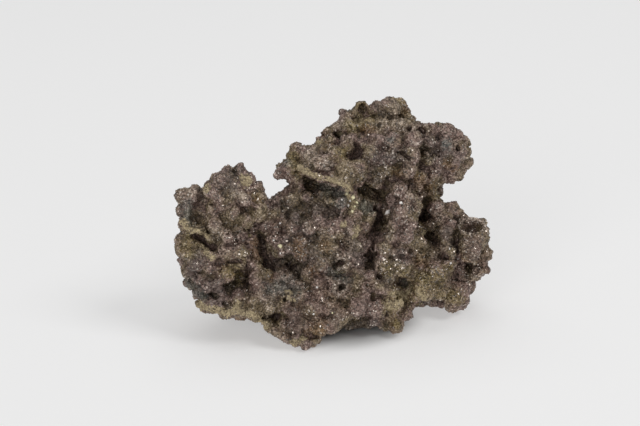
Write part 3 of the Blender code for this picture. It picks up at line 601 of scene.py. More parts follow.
def lip_at(tree, across, up, above):
    """The point on this line of sight at the depth of the skin here or this far above, the nearer one."""
    here, look = hit_at(tree, across, up)
    over = hit_at(tree, across, up + above)[0]
    return seen_at(across, up, min(here.y, over.y) / MM + ORIGIN[1]), look


def points_between(corners, step):
    """Places a step apart along a line through these corners of the view."""
    places = [corners[0]]
    for (a, b), (c, d) in zip(corners, corners[1:]):
        count = max(1, round(math.hypot(c - a, d - b) / step))
        places += [(a + (c - a) * i / count, b + (d - b) * i / count) for i in range(1, count + 1)]
    return places


# Meshes


def choose(piece):
    """Leaves this piece alone selected and active."""
    bpy.ops.object.select_all(action="DESELECT")
    piece.select_set(True)
    bpy.context.view_layer.objects.active = piece


def finish_modifiers(piece):
    """Applies this piece's modifiers."""
    choose(piece)
    for modifier in list(piece.modifiers):
        bpy.ops.object.modifier_apply(modifier=modifier.name)


def corners_of(mesh):
    points = np.empty(len(mesh.vertices) * 3, np.float32)
    mesh.vertices.foreach_get("co", points)
    return points.reshape(-1, 3).astype(float)


def move_to(mesh, points):
    mesh.vertices.foreach_set("co", points.astype(np.float32).ravel())
    mesh.update()


def outward_of(mesh):
    """Each corner's outward direction."""
    found = np.empty(len(mesh.vertices) * 3, np.float32)
    mesh.vertex_normals.foreach_get("vector", found)
    return found.reshape(-1, 3).astype(float)


def sides_of(mesh):
    sides = np.empty(len(mesh.loops), np.int32)
    mesh.loops.foreach_get("vertex_index", sides)
    return sides.reshape(len(mesh.polygons), -1)


def tree_of(mesh):
    return BVHTree.FromPolygons(corners_of(mesh).tolist(), sides_of(mesh).tolist())


def mesh_from(name, points, sides):
    """A mesh of faces that all have the same number of corners."""
    mesh = bpy.data.meshes.new(name)
    mesh.vertices.add(len(points))
    mesh.vertices.foreach_set("co", points.astype(np.float32).ravel())
    mesh.loops.add(sides.size)
    mesh.loops.foreach_set("vertex_index", sides.astype(np.int32).ravel())
    mesh.polygons.add(len(sides))
    mesh.polygons.foreach_set("loop_start", np.arange(len(sides), dtype=np.int32) * sides.shape[1])
    mesh.update(calc_edges=True)
    return mesh


def object_from(mesh):
    piece = bpy.data.objects.new(mesh.name, mesh)
    bpy.context.scene.collection.objects.link(piece)
    return piece


def unit(rows):
    """These rows, each made one long."""
    return rows / np.linalg.norm(rows, axis=1)[:, None]


def turns(count):
    """Random turns, as 3 by 3 matrices."""
    w, x, y, z = unit(rng.normal(size=(count, 4))).T
    rows = [
        [1 - 2 * (y * y + z * z), 2 * (x * y - z * w), 2 * (x * z + y * w)],
        [2 * (x * y + z * w), 1 - 2 * (x * x + z * z), 2 * (y * z - x * w)],
        [2 * (x * z - y * w), 2 * (y * z + x * w), 1 - 2 * (x * x + y * y)],
    ]
    return np.array(rows).transpose(2, 0, 1)


def copies(name, shape, centres, radii):
    """One mesh that holds a copy of the shape at each centre, turned at random, with its radii in metres."""
    corners, sides = corners_of(shape), sides_of(shape)
    points = np.einsum("nij,nkj->nki", turns(len(centres)), corners[None] * radii[:, None, :])
    points += centres[:, None, :]
    all_sides = sides[None] + len(corners) * np.arange(len(centres))[:, None, None]
    return mesh_from(name, points.reshape(-1, 3), all_sides.reshape(-1, sides.shape[1]))


def places_on(mesh, count, weight=None):
    """Random places on a mesh of triangles, with their outward directions and faces."""
    points, sides = corners_of(mesh), sides_of(mesh)
    a, b, c = points[sides[:, 0]], points[sides[:, 1]], points[sides[:, 2]]
    outward = np.cross(b - a, c - a)
    area = np.linalg.norm(outward, axis=1)
    reach = np.cumsum(area if weight is None else area * weight[sides].mean(1))
    face = np.searchsorted(reach, rng.random(count) * reach[-1])
    s, t = rng.random(count), rng.random(count)
    over = s + t > 1
    s[over], t[over] = 1 - s[over], 1 - t[over]
    where = a[face] + (b[face] - a[face]) * s[:, None] + (c[face] - a[face]) * t[:, None]
    return where, outward[face] / np.maximum(area[face], 1e-12)[:, None], face


def spaced(places, gap):
    """Which of these places stay when each one nearer than the gap to one kept before it is dropped."""
    cells, kept = {}, []
    for index, (x, y, z) in enumerate((places / gap).tolist()):
        i, j, k = math.floor(x), math.floor(y), math.floor(z)
        near = [
            spot
            for a in (i - 1, i, i + 1)
            for b in (j - 1, j, j + 1)
            for c in (k - 1, k, k + 1)
            for spot in cells.get((a, b, c), ())
        ]
        if all((p - x) ** 2 + (q - y) ** 2 + (r - z) ** 2 >= 1 for p, q, r in near):
            cells.setdefault((i, j, k), []).append((x, y, z))
            kept.append(index)
    return np.array(kept)


def make_triangles(piece):
    choose(piece)
    bpy.ops.object.mode_set(mode="EDIT")
    bpy.ops.mesh.select_all(action="SELECT")
    bpy.ops.mesh.quads_convert_to_tris()
    bpy.ops.object.mode_set(mode="OBJECT")


def run_together(piece, voxel):
    remesh = piece.modifiers.new("grown_together", "REMESH")
    remesh.mode = "VOXEL"
    remesh.voxel_size = voxel * MM
    finish_modifiers(piece)


def round_off(piece, times):
    smooth = piece.modifiers.new("round_off", "SMOOTH")
    smooth.factor, smooth.iterations = 0.5, times
    finish_modifiers(piece)


def drop_loose(piece):
    """Takes away what isn't joined to the piece's highest point."""
    choose(piece)
    bpy.ops.object.mode_set(mode="EDIT")
    bpy.ops.mesh.select_mode(type="VERT")
    bpy.ops.mesh.select_all(action="DESELECT")
    bpy.ops.object.mode_set(mode="OBJECT")
    piece.data.vertices[int(corners_of(piece.data)[:, 2].argmax())].select = True
    bpy.ops.object.mode_set(mode="EDIT")
    bpy.ops.mesh.select_linked()
    bpy.ops.mesh.select_all(action="INVERT")
    bpy.ops.mesh.delete(type="VERT")
    bpy.ops.object.mode_set(mode="OBJECT")


def roughen(piece, size, height, finer):
    """Moves the skin in and out by clouds of this size, in millimetres, with so many finer ones in them."""
    clouds = bpy.data.textures.new("relief", "CLOUDS")
    clouds.noise_scale = size * MM
    clouds.noise_depth = finer
    displace = piece.modifiers.new("relief", "DISPLACE")
    displace.texture = clouds
    displace.texture_coords = "LOCAL"
    displace.strength = height * MM
    finish_modifiers(piece)


def keep_in_box(mesh):
    """Presses what stands out of the solid's box back onto it."""
    move_to(mesh, np.clip(corners_of(mesh), BOX_LOW, BOX_HIGH))


def mark(mesh, name, values):
    """Gives each corner of the mesh a value that a material can read by this name."""
    attribute = mesh.attributes.new(name, "FLOAT", "POINT")
    attribute.data.foreach_set("value", np.asarray(values, np.float32))


# The crust


def hollows_along(lines, tree):
    """Round hollows along these lines of the view: far end, radius, way in and reach back, in metres."""
    found = []
    for radius, inward, corners in lines:
        for across, up in points_between(corners, radius * PIT_STEP):
            across += rng.uniform(-PIT_JITTER, PIT_JITTER)
            up += rng.uniform(-PIT_JITTER, PIT_JITTER)
            place, look = hit_at(tree, across, up)
            wide = radius * rng.uniform(*PIT_SHRINK)
            deep = inward * PIT_SHARE - PIT_LESS - wide
            found.append((place + look * deep * MM, wide * MM, look, PIT_REACH * MM))
    return found


def vent_hollows(tree):
    """Round hollows in a row make each vent's slanting slot."""
    found = []
    for across, up, half, high, turn, _ in VENTS:
        for side in VENT_ROW:
            shift = side * (half - high)
            x = across + shift * math.cos(math.radians(turn))
            y = up + shift * math.sin(math.radians(turn))
            place, look = hit_at(tree, x, y)
            found.append((place + look * VENT_DEEP * MM, high * MM, look, PIT_REACH * MM))
    return found


def pores(mesh):
    """Small round hollows all over."""
    found = []
    where, outward, _ = places_on(mesh, PORE_COUNT * PORE_TRIES)
    for index in spaced(where, PORE_GAP * MM)[:PORE_COUNT]:
        wide = rng.uniform(*PORE_RADII)
        end = where[index] - outward[index] * (PORE_DEPTH * wide - wide) * MM
        found.append((end, wide * MM, -outward[index], PIT_REACH * MM))
    return found


def sink(mesh, hollows):
    """Pushes the skin in to the bottom of each round hollow."""
    points = corners_of(mesh)
    order = np.argsort(points[:, 0])
    lined_up = points[order, 0]
    for end, radius, way_in, reach in hollows:
        first, last = np.searchsorted(lined_up, (end[0] - reach - radius, end[0] + reach + radius))
        near = order[first:last]
        away = points[near] - np.array(end)
        along = away @ np.array(way_in)
        aside = (away**2).sum(1) - along**2
        inside = (aside < radius**2) & (along > -reach) & (along**2 * (along > 0) + aside < radius**2)
        move = np.sqrt(radius**2 - aside[inside]) - along[inside]
        points[near[inside]] += move[:, None] * np.array(way_in)
    move_to(mesh, points)


def make_base():
    """The solid's form with its facets rounded off and its lumps and clefts stressed."""
    choose(frame["nodes"]["specimen"])
    bpy.ops.object.duplicate()
    crust = bpy.context.active_object
    crust.name = crust.data.name = "botryoidal_crust"
    # The copy is no part of the frame, so it drops its place there and what is written on the node.
    crust.parent = None
    for key in list(crust.keys()):
        del crust[key]
    bpy.ops.object.mode_set(mode="EDIT")
    bpy.ops.mesh.select_all(action="SELECT")
    bpy.ops.mesh.remove_doubles(threshold=SAME_PLACE)
    bpy.ops.object.mode_set(mode="OBJECT")
    run_together(crust, BASE_VOXEL)
    round_off(crust, BASE_SMOOTH)
    form = corners_of(crust.data)
    round_off(crust, STRESS_STEPS)
    broad = corners_of(crust.data)
    move_to(crust.data, form + (form - broad) * STRESS)
    move_to(crust.data, corners_of(crust.data) - outward_of(crust.data) * INSET * MM)
    make_triangles(crust)
    return crust


def make_ball():
    """A round ball of unit radius."""
    bpy.ops.object.select_all(action="DESELECT")
    bpy.ops.mesh.primitive_ico_sphere_add(subdivisions=2, radius=1)
    return bpy.context.active_object


def join_into(piece, other):
    bpy.ops.object.select_all(action="DESELECT")
    other.select_set(True)
    piece.select_set(True)
    bpy.context.view_layer.objects.active = piece
    bpy.ops.object.join()


def add_balls(crust, centres, radii, edge_room=EDGE_ROOM):
    """Runs balls together with the crust. Centres are in metres and radii in millimetres."""
    ball = make_ball()
    room = (radii * BALL_ROOM + edge_room)[:, None] * MM
    # Balls may hang through the floor, where they are pressed flat later.
    centres = np.clip(centres, np.where(np.array([1, 1, 0]), BOX_LOW + room, -1), BOX_HIGH - room)
    stretch = rng.uniform(*BALL_STRETCH, (len(centres), 3))
    balls = object_from(copies("lumps", ball.data, centres, radii[:, None] * stretch * MM))
    bpy.data.objects.remove(ball)
    join_into(crust, balls)


def balls_between(mesh, tries, centres, clearances, gap, radii, proud):
    """Seeded balls on the skin, clear of these centres: their middles, and their radii in millimetres."""
    where, outward, _ = places_on(mesh, tries)
    taken = np.zeros(len(where), bool)
    for centre, clearance in zip(centres, clearances):
        taken |= np.linalg.norm(where - centre, axis=1) < clearance * MM
    where, outward = where[~taken], outward[~taken]
    kept = spaced(where, gap * MM)
    radius = rng.uniform(*radii, len(kept))
    out = rng.uniform(*proud, len(kept)) - radius
    return where[kept] + outward[kept] * out[:, None] * MM, radius


def grow_lumps(crust, tree):
    """The solid's own lumps made round again, knobs on them, and smaller lumps between them."""
    centres, radii = [], []
    for across, up, radius in LUMPS:
        place, look = hit_at(tree, across, up)
        centres.append(np.array(place + look * radius * (1 - MAIN_PROUD) * MM))
        radii.append(radius)
    for across, up, radius in BOLD:
        place, look = hit_at(tree, across, up)
        centres.append(np.array(place + look * (radius - BOLD_PROUD) * MM))
        radii.append(radius)
    for x, y, z, radius in UNDERSIDE:
        centres.append(np.array([x, y, z]) * MM)
        radii.append(radius)
    centres, radii = np.array(centres), np.array(radii)
    more, more_radii = balls_between(
        crust.data, LUMP_TRIES, centres, radii + MAIN_ROOM, LUMP_GAP, LUMP_RADII, LUMP_PROUD
    )
    ways = unit(rng.normal(size=(len(radii) * KNOBS, 3)))
    small = np.repeat(radii, KNOBS) * rng.uniform(*KNOB_SHARE, len(ways))
    out = np.repeat(radii, KNOBS) * KNOB_OUT - small * KNOB_SUNK
    knobs = np.repeat(centres, KNOBS, axis=0) + ways * out[:, None] * MM
    above = knobs[:, 2] > (small * KNOB_RISE + KNOB_FLOOR) * MM
    room = np.full(len(radii) + above.sum(), EDGE_ROOM)
    room = np.concatenate([room, rng.uniform(*MORE_EDGE_ROOM, len(more))])
    places = np.concatenate([centres, knobs[above], more])
    add_balls(crust, places, np.concatenate([radii, small[above], more_radii]), room)
    run_together(crust, FINE_VOXEL)


def vent_ring(across, up, half, high, turn, size):
    """Places of the view along a vent's rim."""
    turn = math.radians(turn)
    ring = []
    for angle in np.linspace(0, 2 * math.pi, VENT_BEADS, endpoint=False):
        a = (half + size * VENT_RIM_OUT) * math.cos(angle)
        b = (high + size * VENT_RIM_OUT) * math.sin(angle)
        x = across + a * math.cos(turn) - b * math.sin(turn)
        y = up + a * math.sin(turn) + b * math.cos(turn)
        ring.append((x, y))
    return ring


def bulb_mouth():
    """The middle of the broken bulb's mouth, and the way in."""
    return seen_at(BULB["across"], BULB["up"], BULB["depth"]), Vector(BULB["way_in"]).normalized()


def bulb_ring(deep, count):
    """Places round the broken bulb's wall, this far in from its mouth."""
    middle, way_in = bulb_mouth()
    side = Vector((1, 0, 0))
    ahead = way_in.cross(side)
    wide = BULB["radius"] + BULB["widening"] * deep
    places = []
    for angle in np.linspace(0, 2 * math.pi, count, endpoint=False):
        aside = (side * math.cos(angle) + ahead * math.sin(angle)) * wide
        places.append(middle + (aside + way_in * deep) * MM)
    return places


def grow_ridges(crust, tree):
    """The thin ledges, the rims round the small vents, and the wall of the broken bulb."""
    centres, radii = [], []
    for radius, corners in LEDGES:
        for index, (across, up) in enumerate(points_between(corners, radius * LEDGE_STEP)):
            if index % LEDGE_RUN == 0:
                size = radius * rng.uniform(*LEDGE_SIZES)
                shift = rng.uniform(-LEDGE_SHIFT, LEDGE_SHIFT) * radius
            across += rng.uniform(-LEDGE_JITTER, LEDGE_JITTER) * radius
            place, look = lip_at(tree, across, up + shift, LIP_ABOVE)
            centres.append(place - look * (LEDGE_PROUD - size * LEDGE_SUNK) * MM)
            radii.append(size)
    for vent in VENTS:
        for x, y in vent_ring(*vent):
            place, look = hit_at(tree, x, y)
            centres.append(place - look * VENT_PROUD * MM)
            radii.append(vent[-1] * rng.uniform(*BEAD_SIZES))
    wobble = BULB["wobble"]
    for deep in np.arange(0, BULB["deep"], BULB["ring_gap"]):
        for place in bulb_ring(deep, BULB["beads"]):
            centres.append(place + Vector(rng.uniform(-wobble, wobble, 3)) * MM)
            radii.append(BULB["wall"] * (1 + BULB["thickening"] * deep) * rng.uniform(*BEAD_SIZES))
    add_balls(crust, np.array(centres), np.array(radii))


def grow_buds(crust):
    """Small buds all over, but not at the broken bulb's mouth."""
    mouth, clearance = np.array(bulb_mouth()[0]), BULB["radius"] + BULB["room"]
    buds = balls_between(crust.data, BUD_TRIES, [mouth], [clearance], BUD_GAP, BUD_RADII, BUD_PROUD)
    add_balls(crust, *buds)
    run_together(crust, FINE_VOXEL)


def press_foot(mesh):
    """Lifts what hangs under the front foot's edge, as it is seen from in front."""
    points = corners_of(mesh)
    place = points / MM + np.array(ORIGIN)
    sine, cosine = math.sin(LOOK_DOWN), math.cos(LOOK_DOWN)
    spread = 1 + (place[:, 1] * cosine - place[:, 2] * sine - EYE_PLANE) / EYE_DISTANCE
    across = EYE_ACROSS + (place[:, 0] - EYE_ACROSS) / spread
    up = EYE_UP + (place[:, 2] * cosine + place[:, 1] * sine - EYE_UP) / spread
    edge_across, edge_up = zip(*FOOT_EDGE)
    short = np.interp(across, edge_across, edge_up, left=NO_EDGE, right=NO_EDGE) - up
    hangs = (short > 0) & (place[:, 1] < FOOT_DEPTH)
    points[hangs, 2] += short[hangs] * spread[hangs] / cosine * MM
    move_to(mesh, points)


def bore():
    """The broken bulb's hollow."""
    middle, way_in = bulb_mouth()
    radius = BULB["radius"] - BULB["wall"] * BULB["lap"]
    return (middle + way_in * (BULB["deep"] - radius) * MM, radius * MM, way_in, BULB["cleared"] * MM)


def make_crust():
    crust = make_base()
    base_tree = tree_of(crust.data)
    grow_lumps(crust, base_tree)
    make_triangles(crust)
    grow_ridges(crust, base_tree)
    grow_buds(crust)
    make_triangles(crust)
    small_pits = pores(crust.data)
    sink(crust.data, [*hollows_along(PITS, base_tree), *vent_hollows(base_tree), *small_pits, bore()])
    press_foot(crust.data)
    run_together(crust, FINE_VOXEL)
    drop_loose(crust)
    for size, height, finer in RELIEF:
        roughen(crust, size, height, finer)
    make_triangles(crust)
    thin = crust.modifiers.new("fewer_faces", "DECIMATE")
    thin.ratio = CRUST_TRIANGLES / len(crust.data.polygons)
    finish_modifiers(crust)
    keep_in_box(crust.data)
    choose(crust)
    bpy.ops.object.shade_smooth()
    return crust


def openness(mesh):
    """How much of the space over each corner is free within a short reach, from 0 to 1."""
    points, outward = corners_of(mesh), outward_of(mesh)
    tree = tree_of(mesh)
    start = (points + outward * OPEN_START * MM).tolist()
    free = np.zeros(len(points))
    for _ in range(OPEN_RAYS):
        aim = unit(unit(rng.normal(size=points.shape)) + outward * OPEN_LEAN)
        free += [tree.ray_cast(a, b, OPEN_REACH * MM)[0] is None for a, b in zip(start, aim.tolist())]
    free /= OPEN_RAYS
    sides = sides_of(mesh)
    for _ in range(OPEN_BLUR):
        total, count = np.zeros(len(points)), np.zeros(len(points))
        for corner in range(3):
            np.add.at(total, sides[:, corner], free[sides].mean(1))
            np.add.at(count, sides[:, corner], 1)
        free = total / np.maximum(count, 1)
    return free


# Where the finishes lie


def hidden(tree, place, outward):
    """Whether something lies between this place and the eye."""
    to_eye = (0, -math.cos(LOOK_DOWN), math.sin(LOOK_DOWN))
    return tree.ray_cast((place + outward * SIGHT_START * MM).tolist(), to_eye)[0] is not None


def finish_spots(mesh, tree):
    """Each finish's places on the skin, with their reaches: as read on the front, random on the far side."""
    found = {}
    for name, (lines, count, largest) in FINISHES.items():
        spots = [
            (hit_at(tree, across, up)[0], reach)
            for reach, corners in lines
            for across, up in points_between(corners, SPOT_STEP)
        ]
        where, outward, _ = places_on(mesh, count * FAR_TRIES)
        far = [
            Vector(place)
            for place, way in zip(where, outward)
            if way[1] > FAR_FACING and hidden(tree, place, way)
        ]
        for place in far[:count]:
            reach = rng.uniform(*FAR_REACH) * largest
            heading = Vector(rng.normal(size=3)).normalized()
            for _ in range(int(rng.integers(*FAR_STEPS))):
                place = tree.find_nearest(place)[0]
                spots.append((place, reach))
                heading = (heading + Vector(rng.normal(size=3)) * FAR_SWERVE).normalized()
                place = place + heading * FAR_STEP * MM
        found[name] = spots
    found["rim"] += [(hit_at(tree, x, y)[0], RIM_REACH) for vent in VENTS for x, y in vent_ring(*vent)]
    found["rim"] += [(place, RIM_REACH) for place in bulb_ring(0, BULB["rim_spots"])]
    return found


def plain_spots(tree):
    """Where few crystals grow: round the small vents and in the broken bulb."""
    spots = [(hit_at(tree, across, up)[0], half + VENT_PLAIN) for across, up, half, _, _, _ in VENTS]
    return [*spots, (bulb_mouth()[0], BULB["radius"])]


def strength(points, spots):
    """How strongly each point has a finish: 1 amid a spot, a half at its reach, 0 at twice that."""
    best = np.zeros(len(points))
    for place, reach in spots:
        away = np.linalg.norm(points - np.array(place), axis=1)
        best = np.maximum(best, 1 - away / (2 * reach * MM))
    return best


def mark_finishes(mesh, points, spots, per=1):
    """Marks the mesh with each finish's strength at these points, each for so many corners in a row."""
    for name in FINISHES:
        mark(mesh, name, np.repeat(strength(points, spots[name]), per))


# Crystals and grains on the crust


def make_crystal(kind):
    """One crystal of about unit half width."""
    bpy.ops.object.select_all(action="DESELECT")
    if kind == "cube":
        bpy.ops.mesh.primitive_cube_add(size=1.5)
    elif kind == "bipyramid":
        bpy.ops.mesh.primitive_cone_add(vertices=4, radius1=1, radius2=0, depth=1, location=(0, 0, 0.5))
        bpy.ops.object.mode_set(mode="EDIT")
        bpy.ops.mesh.select_all(action="DESELECT")
        bpy.ops.object.mode_set(mode="OBJECT")
        made = bpy.context.active_object
        # The flat base is pulled down to a point.
        for face in made.data.polygons:
            face.select = abs(face.normal.z) > 0.99
        bpy.ops.object.mode_set(mode="EDIT")
        bpy.ops.mesh.extrude_region_move(TRANSFORM_OT_translate={"value": (0, 0, -1)})
        bpy.ops.mesh.merge(type="CENTER")
        bpy.ops.mesh.select_all(action="SELECT")
        bpy.ops.mesh.quads_convert_to_tris()
        bpy.ops.mesh.normals_make_consistent(inside=False)
        bpy.ops.object.mode_set(mode="OBJECT")
        bpy.ops.object.transform_apply()
    else:
        bpy.ops.mesh.primitive_ico_sphere_add(subdivisions=1, radius=1)
    return bpy.context.active_object


def strew(name, kind, count, gap, half_widths, sunk, crust, weight, free, spots):
    """Small crystals or grains grown on the crust, as one piece."""
    crystal = make_crystal(kind)
    where, outward, face = places_on(crust.data, count * STREW_TRIES if gap else count, weight)
    keep = where[:, 2] > CRYSTAL_FLOOR * MM
    where, outward, face = where[keep], outward[keep], face[keep]
    if gap:
        kept = spaced(where, gap * MM)[:count]
        where, outward, face = where[kept], outward[kept], face[kept]
    small, large = half_widths
    size = small * (large / small) ** rng.random(len(where)) * MM
    radii = size[:, None] * rng.uniform(*CRYSTAL_STRETCH, (len(where), 3))
    centres = where - outward * (size * rng.uniform(*sunk, len(where)))[:, None]
    mesh = copies(name, crystal.data, centres, radii)
    bpy.data.objects.remove(crystal)
    per = len(mesh.vertices) // len(where)
    mark(mesh, "tone", np.repeat(rng.random(len(where)), per))
    mark(mesh, "chance", np.repeat(rng.random(len(where)) ** (size / size.mean()) ** 2, per))
    # The openness where each crystal grows is darkened in the material as painted shade in hollows.
    mark(mesh, "openness", np.repeat(free[sides_of(crust.data)[face]].mean(1), per))
    mark_finishes(mesh, where, spots, per)
    keep_in_box(mesh)
    return object_from(mesh)


# Materials


def colour(code):
    """A linear colour from its sRGB hex code."""
    parts = [int(code[i : i + 2], 16) / 255 for i in (1, 3, 5)]
    linear = [p / 12.92 if p <= 0.04045 else ((p + 0.055) / 1.055) ** 2.4 for p in parts]
    return (*linear, 1)


def add(tree, kind, inputs=None, **settings):
    """Adds a node with these settings. An input is a value or another node's output."""
    made = tree.nodes.new(kind)
    for name, value in settings.items():
        setattr(made, name, value)
    for name, value in (inputs or {}).items():
        if isinstance(value, bpy.types.NodeSocket):
            tree.links.new(value, made.inputs[name])
        else:
            made.inputs[name].default_value = value
    return made


def blank_material(name):
    """A new material, its tree, its shader, and the place on the piece that its patterns are read at."""
    made = bpy.data.materials.new(name)
    made.use_nodes = True
    tree = made.node_tree
    return made, tree, tree.nodes["Principled BSDF"], add(tree, "ShaderNodeTexCoord").outputs["Object"]


def span(side, ends):
    """The least and most of one side of a range."""
    return {side + " Min": ends[0], side + " Max": ends[1]}


def noise(place, size):
    """What a noise with patches of this size, in millimetres, starts from."""
    return {"Vector": place, "Scale": 1 / (size * MM)}


def rock_colour(tree, place, tone):
    """The ground colour from purplish to olive brown, its finishes, its tone, and painted shade in hollows.
    """
    broad = add(tree, "ShaderNodeTexNoise", noise(place, HUE_PATCH)).outputs["Fac"]
    hue = add(tree, "ShaderNodeMapRange", {"Value": broad, **span("From", HUE_RANGE)})
    ground = add(tree, "ShaderNodeMix", {
        0: hue.outputs[0], 6: colour(PURPLE_BROWN), 7: colour(OLIVE_BROWN),
    }, data_type="RGBA").outputs[2]
    edge = add(tree, "ShaderNodeTexNoise", {**noise(place, RAGGED_PATCH), "Detail": 3}).outputs["Fac"]
    for name, code, share in FINISH_COLOURS:
        here = add(tree, "ShaderNodeAttribute", attribute_name=name).outputs["Fac"]
        ragged = add(tree, "ShaderNodeMath", {0: edge, 1: 2, 2: here}, operation="MULTIPLY_ADD")
        cover = add(tree, "ShaderNodeMapRange", {
            "Value": ragged.outputs[0], **span("From", RAGGED_RANGE), "To Max": share,
        })
        ground = add(tree, "ShaderNodeMix", {
            0: cover.outputs[0], 6: ground, 7: colour(code),
        }, data_type="RGBA").outputs[2]
    # Painted shade: the colour darkens where a place is hardly open, in creases and pits.
    free = add(tree, "ShaderNodeAttribute", attribute_name="openness").outputs["Fac"]
    dark = add(tree, "ShaderNodeMapRange", {
        "Value": free, **span("From", OPEN_RANGE), **span("To", OPEN_PAINTED_SHADE),
    }).outputs[0]
    shade = add(tree, "ShaderNodeMath", {0: dark, 1: tone}, operation="MULTIPLY").outputs[0]
    patch = add(tree, "ShaderNodeTexNoise", noise(place, MOTTLE_PATCH)).outputs["Fac"]
    mottle = add(tree, "ShaderNodeMapRange", {
        "Value": patch, **span("From", MOTTLE_RANGE), **span("To", MOTTLE_SHADE),
    }).outputs[0]
    shade = add(tree, "ShaderNodeMath", {0: shade, 1: mottle}, operation="MULTIPLY").outputs[0]
    body = add(tree, "ShaderNodeMath", {0: shade, 1: NEUTRAL_FROM}, operation="MINIMUM").outputs[0]
    body = add(tree, "ShaderNodeVectorMath", {0: ground, "Scale": body}, operation="SCALE").outputs[0]
    shine = add(tree, "ShaderNodeMath", {0: shade, 1: NEUTRAL_FROM}, operation="SUBTRACT").outputs[0]
    shine = add(tree, "ShaderNodeMath", {0: shine, 1: 0}, operation="MAXIMUM").outputs[0]
    grey = add(tree, "ShaderNodeRGBToBW", {0: ground}).outputs[0]
    shine = add(tree, "ShaderNodeMath", {0: shine, 1: grey}, operation="MULTIPLY").outputs[0]
    shine = add(tree, "ShaderNodeVectorMath", {0: NEUTRAL_TINT, "Scale": shine}, operation="SCALE")
    return add(tree, "ShaderNodeVectorMath", {0: body, 1: shine.outputs[0]}, operation="ADD").outputs[0]


def glints(tree, shader, ground, chance, roughness, metallic):
    """Turns the crystals with the highest chance into clean bright faces, more where glitter is strong."""
    glitter = add(tree, "ShaderNodeAttribute", attribute_name="glitter").outputs["Fac"]
    least = add(tree, "ShaderNodeMapRange", {
        "Value": glitter, "From Max": GLITTER_FULL, **span("To", GLINT_FROM),
    }).outputs[0]
    clean = add(tree, "ShaderNodeMath", {0: chance, 1: least}, operation="GREATER_THAN").outputs[0]
    face = add(tree, "ShaderNodeMix", {0: clean, 6: ground, 7: colour(GLINT)}, data_type="RGBA").outputs[2]
    shine = add(tree, "ShaderNodeMapRange", {"Value": clean, **span("To", (metallic, 1))}).outputs[0]
    gloss = add(tree, "ShaderNodeMapRange", {
        "Value": clean, **span("To", (roughness, GLINT_ROUGHNESS)),
    }).outputs[0]
    tree.links.new(face, shader.inputs["Base Color"])
    tree.links.new(shine, shader.inputs["Metallic"])
    tree.links.new(gloss, shader.inputs["Roughness"])


def crust_material():
    # Weathered sulphide, covered in crystals too fine to model: each cell is a facet with its tilt and tone,
    # with painted shade at its edge.
    made, tree, shader, place = blank_material("famatinite_weathered_crust")
    grains = add(tree, "ShaderNodeTexVoronoi", noise(place, FACET_SIZE))
    cells = grains.outputs["Color"]
    split = add(tree, "ShaderNodeSeparateColor", {0: cells})
    level = add(tree, "ShaderNodeMapRange", {
        "Value": split.outputs[0], **span("To", FACET_TONES),
    }).outputs[0]
    # Painted shade: each facet darkens towards its edge, where the gaps between crystals would be shaded.
    gap = add(tree, "ShaderNodeMapRange", {
        "Value": grains.outputs["Distance"], **span("From", FACET_GAP_RANGE), **span("To", (1, FACET_GAP)),
    }).outputs[0]
    tone = add(tree, "ShaderNodeMath", {0: level, 1: gap}, operation="MULTIPLY").outputs[0]
    glints(tree, shader, rock_colour(tree, place, tone), split.outputs[2], *CRUST_GLOSS)
    tilt = add(tree, "ShaderNodeVectorMath", {0: cells, 1: (-0.5, -0.5, -0.5)}, operation="ADD").outputs[0]
    way = add(tree, "ShaderNodeNewGeometry").outputs["Normal"]
    leaning = add(tree, "ShaderNodeVectorMath", {
        0: tilt, 1: (FACET_TILT,) * 3, 2: way,
    }, operation="MULTIPLY_ADD").outputs[0]
    facing = add(tree, "ShaderNodeVectorMath", {0: leaning}, operation="NORMALIZE").outputs[0]
    tree.links.new(facing, shader.inputs["Normal"])
    return made


def druse_material():
    # Fresh crystal faces of the same sulphide: half metallic, so that some faces flash and some stay dark.
    made, tree, shader, place = blank_material("famatinite_drusy_crystals")
    tone = add(tree, "ShaderNodeAttribute", attribute_name="tone").outputs["Fac"]
    bright = add(tree, "ShaderNodeFloatCurve", {"Value": tone})
    curve = bright.mapping.curves[0]
    curve.points[0].location, curve.points[1].location = DRUSE_TONES[0], DRUSE_TONES[-1]
    for at, height in DRUSE_TONES[1:-1]:
        curve.points.new(at, height)
    bright.mapping.update()
    level = add(tree, "ShaderNodeMath", {0: bright.outputs[0], 1: DRUSE_LEVEL}, operation="MULTIPLY")
    chance = add(tree, "ShaderNodeAttribute", attribute_name="chance").outputs["Fac"]
    glints(tree, shader, rock_colour(tree, place, level.outputs[0]), chance, *DRUSE_GLOSS)
    return made


def clay_material():
    # Dry powdery clay, yellow-green to straw: dull all over, from grain to grain a little lighter or darker,
    # and darker in hollows as painted shade.
    made, tree, shader, place = blank_material("clay_powdery_yellow_green")
    tone = add(tree, "ShaderNodeAttribute", attribute_name="tone").outputs["Fac"]
    darkest, lightest = (colour(code) for code in CLAY_COLOURS)
    ground = add(tree, "ShaderNodeMix", {0: tone, 6: darkest, 7: lightest}, data_type="RGBA").outputs[2]
    # Painted shade: the clay darkens where a place is hardly open.
    free = add(tree, "ShaderNodeAttribute", attribute_name="openness").outputs["Fac"]
    dark = add(tree, "ShaderNodeMapRange", {
        "Value": free, "From Max": CLAY_OPEN, "To Min": CLAY_PAINTED_SHADE,
    }).outputs[0]
    shade = add(tree, "ShaderNodeVectorMath", {0: ground, "Scale": dark}, operation="SCALE").outputs[0]
    tree.links.new(shade, shader.inputs["Base Color"])
    shader.inputs["Roughness"].default_value = 0.9
    fine = add(tree, "ShaderNodeTexNoise", noise(place, POWDER_PATCH)).outputs["Fac"]
    bump = add(tree, "ShaderNodeBump", {"Height": fine, "Strength": 0.6, "Distance": POWDER_HEIGHT * MM})
    tree.links.new(bump.outputs["Normal"], shader.inputs["Normal"])
    return made


